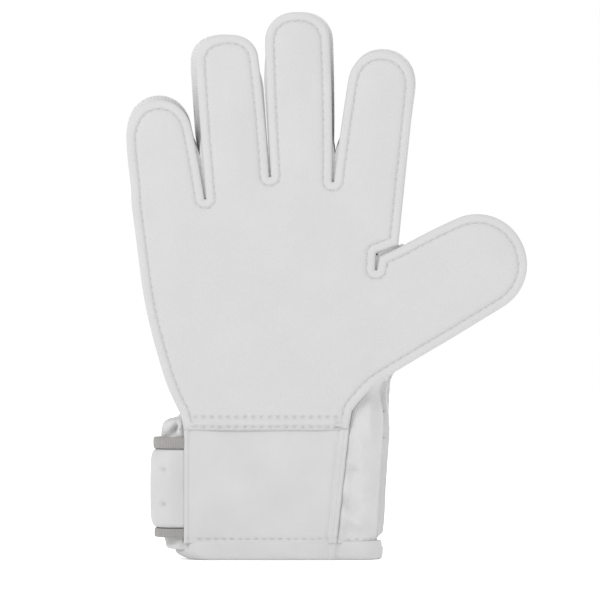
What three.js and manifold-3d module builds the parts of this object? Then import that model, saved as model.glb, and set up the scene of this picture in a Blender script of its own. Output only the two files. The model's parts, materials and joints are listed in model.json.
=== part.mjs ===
// A right-hand goalkeeper's glove with a flat palm, standing on the hem of its cuff.
// Millimetres, +Z up towards the fingertips, palm towards -Y, thumb towards +X.
// The origin is below the middle of the glove, on the surface that the hem stands on.
// Dimensions across are first counted from the middle of the flat pattern, and moved at the end.
import * as THREE from "three";
import { mergeVertices } from "three/addons/utils/BufferGeometryUtils.js";
import Module from "manifold-3d";

const wasm = await Module();
wasm.setup();

// ---------------------------------------------------------------- driving dimensions
const GLOVE_DEPTH = 24; // palm face to backhand face, over the fingers
const PALM_THICK = 3.8; // latex foam laminated to its lining
const BACK_THICK = 3.5;
const GAP = 0.3; // left between touching pieces
const SEAM_ALLOWANCE = 4.2; // sheet edge to the stitched seam
const GUSSET_THICK = 1.6;
const KNUCKLE_ABOVE_FORK = 3; // a finger bends this far above its higher fork
const MIDDLE_JOINT_SHARE = 0.43; // of the finger beyond the knuckle line
const THUMB_BASE_ABOVE_CROTCH = 3;

const WRIST_HEIGHT = 63.5; // height of the wrist's bending line
const WRIST_CLEAR = 4.8; // kept free above and below that line
const HAND_BOTTOM = WRIST_HEIGHT + WRIST_CLEAR;
const CUFF_TOP = WRIST_HEIGHT - WRIST_CLEAR;
const HEM_HEIGHT = 8.9;

const CUFF_LEFT = -77.5; // little-finger side of the cuff tube
const CUFF_RIGHT_LOW = 25.7; // thumb side at the hem
const CUFF_RIGHT_HIGH = 30; // thumb side at the top of the cuff
const LINING_THICK = 1.5;
const CUFF_HALF_DEPTH = 10.4; // outside of the fabric gussets
const CUFF_FABRIC_THICK = 1.8;
const CUFF_PANEL_THICK = 3.2;
const PANEL_SUNK = 1.8; // the front panel's back lies this far inside the gussets' outside
const SEAM_OVERLAP = 1.2; // the gussets run this far under the front panel's edges
const HEM_THICK = 3.6;
const HEM_PROUD = 0.6; // the hem stands this far outside the gussets
const HEM_LEFT = -71.2; // the hem stops short of the little-finger side, under the strap
const WRIST_BAND_THICK = 2;
const FRONT_SEAM_LEFT = -67; // edge of the front panel that the strap is sewn into
const FRONT_SEAM_LOW = 2.8; // its other edge, at the hem
const FRONT_SEAM_HIGH = 9.8; // and at the wrist
const BACK_SEAM_RIGHT = 18;

const STRAP_LOW = 10.8; // lower edge of the lower binding
const STRAP_HIGH = 58.1;
const BINDING_LOW_WIDTH = 4.4;
const BINDING_HIGH_WIDTH = 5.6;
const STRAP_THICK = 2.8;
const BINDING_PROUD = 0.5; // the binding tape is this much thicker than the strap, on its outside
const STRAP_FOLD_X = -64; // the free flap starts here, on the backhand side
const STRAP_END_X = 13.5;
const TAB_LENGTH = 12;
const TAB_WIDTH = 20;
const TAB_THICK = 2;
const PATCH_THICK = 1.2;
const LOOP_PATCH = { left: -48, right: 9, halfWidth: 17 };
const HOOK_PATCH = { left: -22, right: STRAP_END_X - 2, halfWidth: 15 };

// Each finger of the flat pattern: tip of the palm sheet, lean to the thumb side in degrees,
// width and length of the rounded end, its squareness, and how the backhand sheet is shifted.
const FINGERS = [
  { name: "little", tip: [-80.6, 217.2], lean: -8, width: 30.6, end: 17.5, square: 2.1, shift: [0.1, 1.8] },
  { name: "ring", tip: [-47.6, 248.2], lean: -4.5, width: 29.6, end: 13.5, square: 2.3, shift: [-0.1, 1.0] },
  { name: "middle", tip: [-13.6, 259.0], lean: -0.5, width: 30.6, end: 14.5, square: 2.2, shift: [0.8, 1.0] },
  { name: "index", tip: [27.8, 240.6], lean: 6, width: 31.6, end: 17, square: 2.1, shift: [0.4, 1.8] },
];
const THUMB = {
  name: "thumb",
  tip: [92.1, 150.9],
  lean: 62,
  width: 47.4,
  end: 24,
  square: 2.05,
  shift: [0.5, 0.4],
};
const THUMB_MIDDLE_JOINT = 30; // beyond the thumb's base line
// The bottom of the slit between two fingers.
const FORKS = [
  [-57, 170.6],
  [-26.4, 181.2],
  [3.3, 178.8],
];
const SLIT = 0.9; // width of a slit at its bottom
const FORK_GUSSET = { side: 10, below: 8 }; // how far the gusset round a slit reaches from its bottom
const CROTCH_GUSSET = { side: 9, below: 8 };
const SIDE_GUSSET_FROM_FORK = 12;
// The slit between index finger and thumb: its end, its elbow and its mouth.
const CROTCH = { end: [23.2, 137.2], elbow: [23.6, 145.2], mouth: [34.2, 149] };
const CROTCH_GAP = 1.7;
// Little-finger edge of the hand from the wrist up, and the edge below the thumb down to the wrist.
const HAND_LEFT = [
  [-68.4, HAND_BOTTOM],
  [-76, 85.6],
  [-85, 119],
  [-90, 154],
  [-93.6, 182],
];
const THUMB_LOWER = [
  [60, 105.2],
  [34, 89.8],
  [22.5, 82.2],
  [14.2, 73.4],
  [11.2, HAND_BOTTOM],
];
const BACK_LOWER = [
  [60, 105.2],
  [37, 91.8],
  [31.4, 86],
  [30.4, 78],
  [30, HAND_BOTTOM],
];
const LITTLE_SIDE_STEPS = 12;
const THUMB_SIDE_STEPS = 14;
const CURVE_STEPS = 7;
const END_STEPS = 14;
const ARC_STEP = 0.35; // radians between points of an arc around a slit's bottom
const CLOSEST_POINTS = 0.25; // points of an inset line nearer than this are joined
const INSET_TOLERANCE = 0.02;
const TUBE_END_STEPS = 10;
const FAR = 200; // reaches past the glove from anywhere on it

const PALM_FACE = GLOVE_DEPTH / 2;
const GUSSET_FRONT = PALM_FACE - PALM_THICK - GAP;
const GUSSET_BACK = -(PALM_FACE - BACK_THICK - GAP);

// ---------------------------------------------------------------- materials
const material = (color, roughness) => new THREE.MeshStandardMaterial({ color, roughness, metalness: 0 });
const latexFoam = material(0xd6d6d6, 0.75);
const backFoam = material(0xdadada, 0.6);
const gussetKnit = material(0xcfcfcf, 0.9);
const cuffFoam = material(0xdbdbdb, 0.55);
const stretchFabric = material(0xd8d8d8, 0.85);
const liningFabric = material(0xe2e2e2, 0.95);
const greyTape = material(0x9f9a99, 0.9);
const hookTape = material(0xcacaca, 0.8);

// ---------------------------------------------------------------- solids
function solidOf(geometry) {
  const bare = geometry.clone();
  bare.deleteAttribute("normal");
  bare.deleteAttribute("uv");
  const merged = mergeVertices(bare, 1e-4);
  return new wasm.Manifold(
    new wasm.Mesh({
      numProp: 3,
      vertProperties: merged.attributes.position.array,
      triVerts: new Uint32Array(merged.index.array),
    }),
  );
}

function meshOf(name, solid, surface) {
  const made = solid.getMesh();
  const geometry = new THREE.BufferGeometry();
  geometry.setAttribute("position", new THREE.BufferAttribute(made.vertProperties, 3));
  geometry.setIndex(new THREE.BufferAttribute(made.triVerts, 1));
  geometry.computeVertexNormals();
  const mesh = new THREE.Mesh(geometry, surface);
  mesh.name = name;
  return mesh;
}

// A flat outline raised from low to high along its own Z.
function slab(points, low, high) {
  const shape = new THREE.Shape(points);
  const geometry = new THREE.ExtrudeGeometry(shape, { depth: high - low, bevelEnabled: false });
  geometry.translate(0, 0, low);
  return solidOf(geometry);
}

// ---------------------------------------------------------------- the flat pattern
const point = (pair) => new THREE.Vector2(pair[0], pair[1]);
const along = (lean) => new THREE.Vector2(Math.sin(lean), Math.cos(lean));
const across = (lean) => new THREE.Vector2(Math.cos(lean), -Math.sin(lean));

// The direction, side direction and shifted tip of a finger on the palm sheet or the backhand sheet.
function finger(spec, isBack) {
  const lean = THREE.MathUtils.degToRad(spec.lean);
  const up = along(lean);
  const side = across(lean);
  const tip = point(spec.tip);
  if (isBack) tip.addScaledVector(side, spec.shift[0]).addScaledVector(up, spec.shift[1]);
  return { up, side, tip };
}

// The rounded end of a finger, from its little-finger side over the tip to its thumb side.
function roundEnd(spec, isBack) {
  const { up, side, tip } = finger(spec, isBack);
  const points = [];
  for (let i = 0; i <= END_STEPS; i++) {
    const turn = Math.PI * (1 - i / END_STEPS);
    const c = Math.cos(turn);
    const out = (spec.width / 2) * Math.sign(c) * Math.abs(c) ** (2 / spec.square);
    const rise = spec.end * (Math.abs(Math.sin(turn)) ** (2 / spec.square) - 1);
    points.push(tip.clone().addScaledVector(side, out).addScaledVector(up, rise));
  }
  return points;
}

// Points of the side between two ends, both left out, bowed out by a share of its length.
function sideLine(from, to, bow = 0) {
  const run = to.clone().sub(from);
  const out = new THREE.Vector2(run.y, -run.x).multiplyScalar(bow);
  const control = from.clone().addScaledVector(run, 0.5).add(out);
  return new THREE.QuadraticBezierCurve(from, control, to).getPoints(CURVE_STEPS).slice(1, -1);
}

const smooth = (pairs, steps) => new THREE.SplineCurve(pairs.map(point)).getPoints(steps);

function forkEnds(pair) {
  return [point([pair[0] - SLIT / 2, pair[1]]), point([pair[0] + SLIT / 2, pair[1]])];
}

// The whole outline of the palm sheet or the backhand sheet. It is gathered clockwise from the
// little-finger corner of the wrist, and given back anticlockwise.
function gloveOutline(isBack) {
  const points = [...smooth(HAND_LEFT, LITTLE_SIDE_STEPS)];
  FINGERS.forEach((spec, i) => {
    const end = roundEnd(spec, isBack);
    if (i > 0) {
      const [, start] = forkEnds(FORKS[i - 1]);
      points.push(start, ...sideLine(start, end[0], -0.01));
    }
    points.push(...end);
    if (i < FORKS.length) {
      const [stop] = forkEnds(FORKS[i]);
      points.push(...sideLine(end[END_STEPS], stop, -0.015), stop);
    }
  });
  const { end, elbow, mouth } = CROTCH;
  const thumbEnd = roundEnd(THUMB, isBack);
  points.push(...sideLine(points[points.length - 1], point(mouth), 0));
  points.push(point(mouth), point(elbow), point(end), point([end[0] + SLIT, end[1]]));
  points.push(point([elbow[0] + CROTCH_GAP, elbow[1] - CROTCH_GAP]));
  const mouthBelow = point([mouth[0] + CROTCH_GAP, mouth[1] - CROTCH_GAP / 3]);
  points.push(mouthBelow, ...sideLine(mouthBelow, thumbEnd[0], -0.02), ...thumbEnd);
  const lower = smooth(isBack ? BACK_LOWER : THUMB_LOWER, THUMB_SIDE_STEPS);
  points.push(...sideLine(thumbEnd[END_STEPS], lower[0]), ...lower);
  return points.reverse();
}

function distanceTo(p, outline) {
  let best = Infinity;
  outline.forEach((a, i) => {
    const b = outline[(i + 1) % outline.length];
    const run = b.clone().sub(a);
    const share = THREE.MathUtils.clamp(p.clone().sub(a).dot(run) / run.lengthSq(), 0, 1);
    best = Math.min(best, p.distanceTo(a.clone().addScaledVector(run, share)));
  });
  return best;
}

// The anticlockwise outline moved inwards by a distance, with arcs at the slits.
function inset(outline, distance) {
  const kept = [];
  outline.forEach((p, i) => {
    const before = outline[(i + outline.length - 1) % outline.length];
    const after = outline[(i + 1) % outline.length];
    const into = Math.atan2(p.y - before.y, p.x - before.x) + Math.PI / 2;
    let turn = Math.atan2(after.y - p.y, after.x - p.x) + Math.PI / 2 - into;
    turn = Math.atan2(Math.sin(turn), Math.cos(turn));
    const steps = turn < -ARC_STEP ? Math.ceil(-turn / ARC_STEP) : 0;
    for (let k = 0; k <= steps; k++) {
      const angle = steps ? into + (turn * k) / steps : into + turn / 2;
      const reach = steps ? distance : distance / Math.cos(turn / 2);
      const q = p.clone().add(new THREE.Vector2(Math.cos(angle), Math.sin(angle)).multiplyScalar(reach));
      const isNew = !kept.length || q.distanceTo(kept[kept.length - 1]) > CLOSEST_POINTS;
      if (isNew && distanceTo(q, outline) > distance - INSET_TOLERANCE) kept.push(q);
    }
  });
  if (kept[0].distanceTo(kept[kept.length - 1]) < CLOSEST_POINTS) kept.pop();
  return kept;
}

// ---------------------------------------------------------------- where the glove bends
// The point on a line through start, along direction, that is this far along up.
function onLevel(start, direction, up, level) {
  const share = (level - start.dot(up)) / direction.dot(up);
  return start.clone().addScaledVector(direction, share);
}

// Dividing lines between the fingers: from a slit's bottom to midway between the two rounded ends.
const dividers = FORKS.map((fork, i) => {
  const left = roundEnd(FINGERS[i], false)[END_STEPS];
  const right = roundEnd(FINGERS[i + 1], false)[0];
  return { start: point(fork), direction: left.add(right).multiplyScalar(0.5).sub(point(fork)) };
});

// Per finger: the levels of its knuckle and middle joint along the finger, and the lines that bound it.
const bends = FINGERS.map((spec, i) => {
  const { up, side, tip } = finger(spec, false);
  const outer = { start: tip.clone().addScaledVector(side, spec.width * (i ? 1 : -1)), direction: up };
  const left = dividers[i - 1] ?? outer;
  const right = dividers[i] ?? outer;
  const forks = [FORKS[i - 1], FORKS[i]].filter(Boolean).map((pair) => point(pair).dot(up));
  const knuckle = Math.max(...forks) + KNUCKLE_ABOVE_FORK;
  const middle = knuckle + (tip.dot(up) - knuckle) * MIDDLE_JOINT_SHARE;
  return { spec, up, side, tip, knuckle, middle, left, right };
});

function fingerMask(bend, low, high, from = bend.left, to = bend.right) {
  const { up } = bend;
  return [
    onLevel(to.start, to.direction, up, low),
    onLevel(to.start, to.direction, up, high),
    onLevel(from.start, from.direction, up, high),
    onLevel(from.start, from.direction, up, low),
  ];
}

const thumbBend = (() => {
  const { up, side, tip } = finger(THUMB, false);
  const knuckle = point(CROTCH.end).dot(up) + THUMB_BASE_ABOVE_CROTCH;
  return { spec: THUMB, up, side, tip, knuckle, middle: knuckle + THUMB_MIDDLE_JOINT };
})();

// The thumb's masks follow the slit between thumb and index finger on their upper side.
function thumbMask(low, high) {
  const { up, side, tip } = thumbBend;
  const [end, elbow, mouth] = [CROTCH.end, CROTCH.elbow, CROTCH.mouth].map((pair) => {
    return point([pair[0] + CROTCH_GAP / 2, pair[1] - CROTCH_GAP / 4]);
  });
  const below = tip.clone().addScaledVector(side, THUMB.width);
  const points = [onLevel(below, up, up, low), onLevel(below, up, up, high), onLevel(mouth, up, up, high)];
  if (low < mouth.dot(up)) {
    points.push(mouth, elbow, onLevel(end, elbow.clone().sub(end), up, low));
  } else {
    points.push(onLevel(mouth, up, up, low));
  }
  return points;
}

// ---------------------------------------------------------------- sheets and gussets, cut where they bend
// This frame lies in the flat pattern: X across, Y to the fingertips, Z out of the palm.
const palmOutline = gloveOutline(false);
const backOutline = gloveOutline(true);
const palmSheet = slab(palmOutline, PALM_FACE - PALM_THICK, PALM_FACE);
const backSheet = slab(backOutline, -PALM_FACE, -PALM_FACE + BACK_THICK);
const seamLine = inset(palmOutline, SEAM_ALLOWANCE);
const gussetInside = inset(palmOutline, SEAM_ALLOWANCE + GUSSET_THICK);
const gussetWall = slab(seamLine, GUSSET_BACK, GUSSET_FRONT).subtract(slab(gussetInside, -FAR, FAR));

const prism = (points) => slab(points, -FAR, FAR);
const cut = (solid, points) => solid.intersect(prism(points));

function box(left, low, right, high) {
  return [point([left, low]), point([right, low]), point([right, high]), point([left, high])];
}

// The meshes of one finger: sheets and gussets of its near and far segments.
function fingerMeshes(bend, maskOf) {
  const name = bend.spec.name;
  const near = maskOf(bend.knuckle + GAP / 2, bend.middle - GAP / 2);
  const far = maskOf(bend.middle + GAP / 2, bend.middle + FAR);
  const axis = { start: bend.tip, direction: bend.up };
  const reach = 2 * bend.spec.width;
  const edge = (sign) => {
    return { start: bend.tip.clone().addScaledVector(bend.side, sign * reach), direction: bend.up };
  };
  const half = (from, to) => fingerMask(bend, bend.knuckle - FAR, bend.middle + FAR, from, to);
  const nearWall = cut(gussetWall, near);
  return [
    meshOf(`${name}_palm_near`, cut(palmSheet, near), latexFoam),
    meshOf(`${name}_palm_far`, cut(palmSheet, far), latexFoam),
    meshOf(`${name}_back_near`, cut(backSheet, near), backFoam),
    meshOf(`${name}_back_far`, cut(backSheet, far), backFoam),
    meshOf(`${name}_gusset_near_a`, cut(nearWall, half(edge(-1), axis)), gussetKnit),
    meshOf(`${name}_gusset_near_b`, cut(nearWall, half(axis, edge(1))), gussetKnit),
    meshOf(`${name}_gusset_far`, cut(gussetWall, far), gussetKnit),
  ];
}

// What is left of a sheet when the fingers and the thumb are taken off.
function handPart(solid) {
  let left = solid;
  for (const bend of bends) {
    const mask = fingerMask(bend, bend.knuckle - GAP / 2, bend.knuckle + FAR);
    left = left.subtract(prism(mask));
  }
  return left.subtract(prism(thumbMask(thumbBend.knuckle - GAP / 2, thumbBend.knuckle + FAR)));
}

const handGroup = new THREE.Group();
handGroup.rotation.x = Math.PI / 2;
for (const bend of bends) handGroup.add(...fingerMeshes(bend, (low, high) => fingerMask(bend, low, high)));
handGroup.add(...fingerMeshes(thumbBend, thumbMask));
handGroup.add(meshOf("palm_panel", handPart(palmSheet), latexFoam));
handGroup.add(meshOf("backhand_panel", handPart(backSheet), backFoam));

const handWall = handPart(gussetWall);
const wallLow = HAND_BOTTOM + SEAM_ALLOWANCE + GUSSET_THICK + CLOSEST_POINTS;
const aroundFork = ([x, z]) => box(x - FORK_GUSSET.side, z - FORK_GUSSET.below, x + FORK_GUSSET.side, FAR);
const [crotchX, crotchZ] = CROTCH.end;
const aroundCrotch = box(crotchX - CROTCH_GUSSET.side, crotchZ - CROTCH_GUSSET.below, FAR, FAR);
const handGussets = [
  ["little_side_gusset", box(-FAR, wallLow, FORKS[0][0] - SIDE_GUSSET_FROM_FORK, FAR)],
  ["little_ring_fork_gusset", aroundFork(FORKS[0])],
  ["ring_middle_fork_gusset", aroundFork(FORKS[1])],
  ["middle_index_fork_gusset", aroundFork(FORKS[2])],
  ["thumb_crotch_gusset", aroundCrotch],
];
for (const [name, mask] of handGussets) handGroup.add(meshOf(name, cut(handWall, mask), gussetKnit));

// A strip of fabric from a line at one height to a line at another, thickened away from outwards.
function ruledStrip(frontLine, backLine, frontZ, backZ, thick) {
  const corners = [];
  frontLine.forEach((front, i) => {
    const back = backLine[i];
    const before = frontLine[Math.max(i - 1, 0)];
    const after = frontLine[Math.min(i + 1, frontLine.length - 1)];
    const run = after.clone().sub(before).normalize();
    const inwards = new THREE.Vector2(run.y, -run.x).multiplyScalar(thick);
    const backInside = back.clone().add(inwards);
    const frontInside = front.clone().add(inwards);
    corners.push([front.x, front.y, frontZ], [back.x, back.y, backZ]);
    corners.push([backInside.x, backInside.y, backZ], [frontInside.x, frontInside.y, frontZ]);
  });
  const faces = [];
  const quad = (a, b, c, d) => faces.push(a, b, c, a, c, d);
  const last = corners.length - 4;
  for (let i = 0; i < last; i += 4) {
    for (let k = 0; k < 4; k++) {
      const next = (k + 1) % 4;
      quad(i + 4 + k, i + 4 + next, i + next, i + k);
    }
  }
  quad(0, 1, 2, 3);
  quad(last + 3, last + 2, last + 1, last);
  const geometry = new THREE.BufferGeometry();
  geometry.setAttribute("position", new THREE.Float32BufferAttribute(corners.flat(), 3));
  geometry.setIndex(faces);
  return solidOf(geometry);
}

const thumbStrip = ruledStrip(
  smooth(THUMB_LOWER, THUMB_SIDE_STEPS),
  smooth(BACK_LOWER, THUMB_SIDE_STEPS),
  GUSSET_FRONT,
  GUSSET_BACK,
  SEAM_ALLOWANCE,
);
handGroup.add(meshOf("thumb_side_gusset", handPart(thumbStrip), stretchFabric));

// ---------------------------------------------------------------- the cuff, from plan sections
// A rounded oblong seen from above, with half-round ends.
function oblong(left, right, halfDepth) {
  const points = [];
  for (const [centre, from] of [
    [right - halfDepth, -Math.PI / 2],
    [left + halfDepth, Math.PI / 2],
  ]) {
    for (let i = 0; i <= TUBE_END_STEPS; i++) {
      const turn = from + (Math.PI * i) / TUBE_END_STEPS;
      points.push(point([centre + halfDepth * Math.cos(turn), halfDepth * Math.sin(turn)]));
    }
  }
  return points;
}

// A tube wall between two heights. Its thumb side leans out towards the wrist.
function cuffTube(outsideDepth, thick, low, high, leftEnd = CUFF_LEFT) {
  const grow = outsideDepth - CUFF_HALF_DEPTH;
  const right = CUFF_RIGHT_LOW + grow;
  const left = leftEnd - grow;
  const outer = new THREE.Shape(oblong(left, right, outsideDepth));
  outer.holes.push(new THREE.Path(oblong(left + thick, right - thick, outsideDepth - thick)));
  const geometry = new THREE.ExtrudeGeometry(outer, { depth: high - low, bevelEnabled: false });
  geometry.translate(0, 0, low);
  const at = geometry.attributes.position;
  const lean = (CUFF_RIGHT_HIGH - CUFF_RIGHT_LOW) / HAND_BOTTOM;
  for (let i = 0; i < at.count; i++) {
    const share = (at.getX(i) - left) / (right - left);
    at.setX(i, at.getX(i) + share * lean * at.getZ(i));
  }
  return solidOf(geometry);
}

// A block between two upright or slanted lines, each given by its X at the hem and at the wrist.
// Positive depths are on the palm side.
function seamBlock([leftLow, leftHigh], [rightLow, rightHigh], [nearest, farthest]) {
  const corners = [
    point([leftLow, 0]),
    point([rightLow, 0]),
    point([rightHigh, HAND_BOTTOM]),
    point([leftHigh, HAND_BOTTOM]),
  ];
  return slab(corners, nearest, farthest).rotate([90, 0, 0]);
}

const cuffGroup = new THREE.Group();
const cuffBottom = HEM_HEIGHT + GAP;
const liningHalfDepth = CUFF_HALF_DEPTH - CUFF_FABRIC_THICK - GAP;
const lining = cuffTube(liningHalfDepth, LINING_THICK, cuffBottom, CUFF_TOP);
cuffGroup.add(meshOf("cuff_lining", lining, liningFabric));
const hem = cuffTube(CUFF_HALF_DEPTH + HEM_PROUD, HEM_THICK, 0, HEM_HEIGHT, HEM_LEFT);
cuffGroup.add(meshOf("cuff_hem", hem, cuffFoam));
const wristBand = cuffTube(CUFF_HALF_DEPTH, WRIST_BAND_THICK, CUFF_TOP + GAP, HAND_BOTTOM - GAP);
cuffGroup.add(meshOf("wrist_flex_band", wristBand, stretchFabric));

const fabricTube = cuffTube(CUFF_HALF_DEPTH, CUFF_FABRIC_THICK, cuffBottom, CUFF_TOP);
const inFront = [0, FAR];
const behind = [-FAR, 0];
const throughout = [-FAR, FAR];
const both = (x) => [x, x];
const littleEdge = FRONT_SEAM_LEFT - GAP + SEAM_OVERLAP;
const thumbEdge = [FRONT_SEAM_LOW - SEAM_OVERLAP, FRONT_SEAM_HIGH - SEAM_OVERLAP];
const littleSide = seamBlock(both(-FAR), both(littleEdge), throughout);
const thumbFront = seamBlock(thumbEdge, both(FAR), inFront);
const thumbBack = seamBlock(both(BACK_SEAM_RIGHT + GAP), both(FAR), behind);
const backBlock = seamBlock(both(littleEdge + GAP), both(BACK_SEAM_RIGHT), behind);
cuffGroup.add(meshOf("cuff_little_side_gusset", fabricTube.intersect(littleSide), stretchFabric));
const thumbSide = thumbFront.add(thumbBack);
cuffGroup.add(meshOf("cuff_thumb_side_gusset", fabricTube.intersect(thumbSide), stretchFabric));
cuffGroup.add(meshOf("cuff_back_panel", fabricTube.intersect(backBlock), cuffFoam));

const panelBack = CUFF_HALF_DEPTH + GAP - PANEL_SUNK;
const frontBlock = [
  point([FRONT_SEAM_LEFT, cuffBottom]),
  point([FRONT_SEAM_LOW, cuffBottom]),
  point([FRONT_SEAM_HIGH, CUFF_TOP]),
  point([FRONT_SEAM_LEFT, CUFF_TOP]),
];
const frontPanel = slab(frontBlock, panelBack, panelBack + CUFF_PANEL_THICK).rotate([90, 0, 0]);
const gussetSpace = cuffTube(CUFF_HALF_DEPTH + GAP, CUFF_FABRIC_THICK + 2 * GAP, 0, HAND_BOTTOM);
const underGussets = gussetSpace.intersect(littleSide.add(thumbFront));
cuffGroup.add(meshOf("cuff_front_panel", frontPanel.subtract(underGussets), cuffFoam));

// ---------------------------------------------------------------- the closing strap
const strapBodyLow = STRAP_LOW + BINDING_LOW_WIDTH;
const strapBodyHigh = STRAP_HIGH - BINDING_HIGH_WIDTH;
const strapInside = CUFF_HALF_DEPTH + GAP;
const wrapSide = seamBlock(both(-FAR), both(FRONT_SEAM_LEFT - GAP), inFront);
const wrapBack = seamBlock(both(-FAR), both(STRAP_FOLD_X - GAP / 2), behind);
const wrapRegion = wrapSide.add(wrapBack);

function strapWrap(name, proud, low, high, surface) {
  const outside = strapInside + STRAP_THICK + proud;
  const tube = cuffTube(outside, STRAP_THICK + proud, low, high);
  return meshOf(name, tube.intersect(wrapRegion), surface);
}
cuffGroup.add(strapWrap("strap_wrap", 0, strapBodyLow + GAP, strapBodyHigh - GAP, cuffFoam));
cuffGroup.add(strapWrap("strap_wrap_binding_top", BINDING_PROUD, strapBodyHigh, STRAP_HIGH, greyTape));
cuffGroup.add(strapWrap("strap_wrap_binding_bottom", BINDING_PROUD, STRAP_LOW, strapBodyLow, greyTape));

// Plates on the backhand side, each spanning [from, to] along X, Y and Z.
function plate(name, [left, right], [near, far], [low, high], surface) {
  const geometry = new THREE.BoxGeometry(right - left, far - near, high - low);
  const mesh = new THREE.Mesh(geometry, surface);
  mesh.position.set((left + right) / 2, (near + far) / 2, (low + high) / 2);
  mesh.name = name;
  return mesh;
}
const strapMiddle = (STRAP_LOW + STRAP_HIGH) / 2;
const aboutMiddle = (halfWidth) => [strapMiddle - halfWidth, strapMiddle + halfWidth];
const loopDepth = [strapInside, strapInside + PATCH_THICK];
const hookDepth = [loopDepth[1] + GAP, loopDepth[1] + GAP + PATCH_THICK];
const flapDepth = [hookDepth[1] + GAP, hookDepth[1] + GAP + STRAP_THICK];
const flapLength = [STRAP_FOLD_X + GAP / 2, STRAP_END_X];
const tabNear = (flapDepth[0] + flapDepth[1] - TAB_THICK) / 2;
const tabLength = [STRAP_END_X + GAP, STRAP_END_X + GAP + TAB_LENGTH];
const loopLength = [LOOP_PATCH.left, LOOP_PATCH.right];
const hookLength = [HOOK_PATCH.left, HOOK_PATCH.right];
cuffGroup.add(
  plate("loop_patch", loopLength, loopDepth, aboutMiddle(LOOP_PATCH.halfWidth), hookTape),
  plate("hook_patch", hookLength, hookDepth, aboutMiddle(HOOK_PATCH.halfWidth), hookTape),
  plate("strap_flap", flapLength, flapDepth, [strapBodyLow + GAP, strapBodyHigh - GAP], cuffFoam),
  plate("strap_flap_binding_top", flapLength, flapDepth, [strapBodyHigh, STRAP_HIGH], greyTape),
  plate("strap_flap_binding_bottom", flapLength, flapDepth, [STRAP_LOW, strapBodyLow], greyTape),
  plate("pull_tab", tabLength, [tabNear, tabNear + TAB_THICK], aboutMiddle(TAB_WIDTH / 2), greyTape),
);

// The origin goes below the middle of everything.
const glove = new THREE.Group();
glove.add(handGroup, cuffGroup);
glove.updateMatrixWorld(true);
const centre = new THREE.Box3().setFromObject(glove).getCenter(new THREE.Vector3());
for (const group of glove.children) group.position.set(-centre.x, -centre.y, 0);

export default glove;
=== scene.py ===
import json
import math

import bpy
import numpy as np
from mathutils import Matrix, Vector
from mathutils.geometry import delaunay_2d_cdt


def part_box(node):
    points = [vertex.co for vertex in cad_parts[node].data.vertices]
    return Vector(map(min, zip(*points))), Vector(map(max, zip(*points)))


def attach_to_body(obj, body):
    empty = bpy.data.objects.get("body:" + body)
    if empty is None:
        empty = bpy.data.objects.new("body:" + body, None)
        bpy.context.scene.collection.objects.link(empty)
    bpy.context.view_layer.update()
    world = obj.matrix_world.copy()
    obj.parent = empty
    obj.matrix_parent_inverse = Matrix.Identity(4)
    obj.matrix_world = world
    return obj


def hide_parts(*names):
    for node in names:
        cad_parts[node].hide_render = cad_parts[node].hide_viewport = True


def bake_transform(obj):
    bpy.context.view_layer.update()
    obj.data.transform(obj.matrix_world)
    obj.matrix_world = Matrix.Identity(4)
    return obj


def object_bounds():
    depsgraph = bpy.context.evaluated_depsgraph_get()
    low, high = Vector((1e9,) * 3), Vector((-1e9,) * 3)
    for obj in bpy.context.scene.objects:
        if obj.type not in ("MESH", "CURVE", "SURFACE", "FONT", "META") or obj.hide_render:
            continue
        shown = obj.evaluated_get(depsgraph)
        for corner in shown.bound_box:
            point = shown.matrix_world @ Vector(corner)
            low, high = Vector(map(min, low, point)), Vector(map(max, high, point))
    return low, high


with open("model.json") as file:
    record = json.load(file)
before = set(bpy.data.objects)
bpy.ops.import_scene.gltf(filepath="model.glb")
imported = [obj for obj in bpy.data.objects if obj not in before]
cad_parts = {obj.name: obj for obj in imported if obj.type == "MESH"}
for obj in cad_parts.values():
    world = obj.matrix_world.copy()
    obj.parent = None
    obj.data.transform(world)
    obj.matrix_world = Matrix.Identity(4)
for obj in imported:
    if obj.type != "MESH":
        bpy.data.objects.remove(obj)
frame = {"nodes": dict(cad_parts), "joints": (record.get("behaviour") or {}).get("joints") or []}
cad_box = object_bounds()

# ---------------------------------------------------------------- dimensions, in millimetres
MM = 0.001
FINGERS = ["little", "ring", "middle", "index"]
DIGITS = FINGERS + ["thumb"]


def box_mm(node):
    low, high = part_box(node)
    return np.array(low) / MM, np.array(high) / MM


PALM_LOW, PALM_HIGH = box_mm("palm_panel")
BACK_LOW, BACK_HIGH = box_mm("backhand_panel")
BAND_LOW, BAND_HIGH = box_mm("wrist_flex_band")
HEM_LOW = box_mm("cuff_hem")[0]
PANEL_LOW, PANEL_HIGH = box_mm("cuff_front_panel")
SIDE_HIGH = box_mm("cuff_thumb_side_gusset")[1]
WRAP_LOW, WRAP_HIGH = box_mm("strap_wrap")
WRAP_TOP_LOW, WRAP_TOP_HIGH = box_mm("strap_wrap_binding_top")
WRAP_BOTTOM_LOW, WRAP_BOTTOM_HIGH = box_mm("strap_wrap_binding_bottom")
FLAP_LOW, FLAP_HIGH = box_mm("strap_flap")
FLAP_TOP_LOW, FLAP_TOP_HIGH = box_mm("strap_flap_binding_top")
FLAP_BOTTOM_LOW, FLAP_BOTTOM_HIGH = box_mm("strap_flap_binding_bottom")

PALM_FACE = PALM_LOW[1]
PALM_THICK = PALM_HIGH[1] - PALM_LOW[1]
BACK_FACE = BACK_HIGH[1]
BACK_THICK = BACK_HIGH[1] - BACK_LOW[1]
MIDDLE_Y = (PALM_FACE + BACK_FACE) / 2

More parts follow.
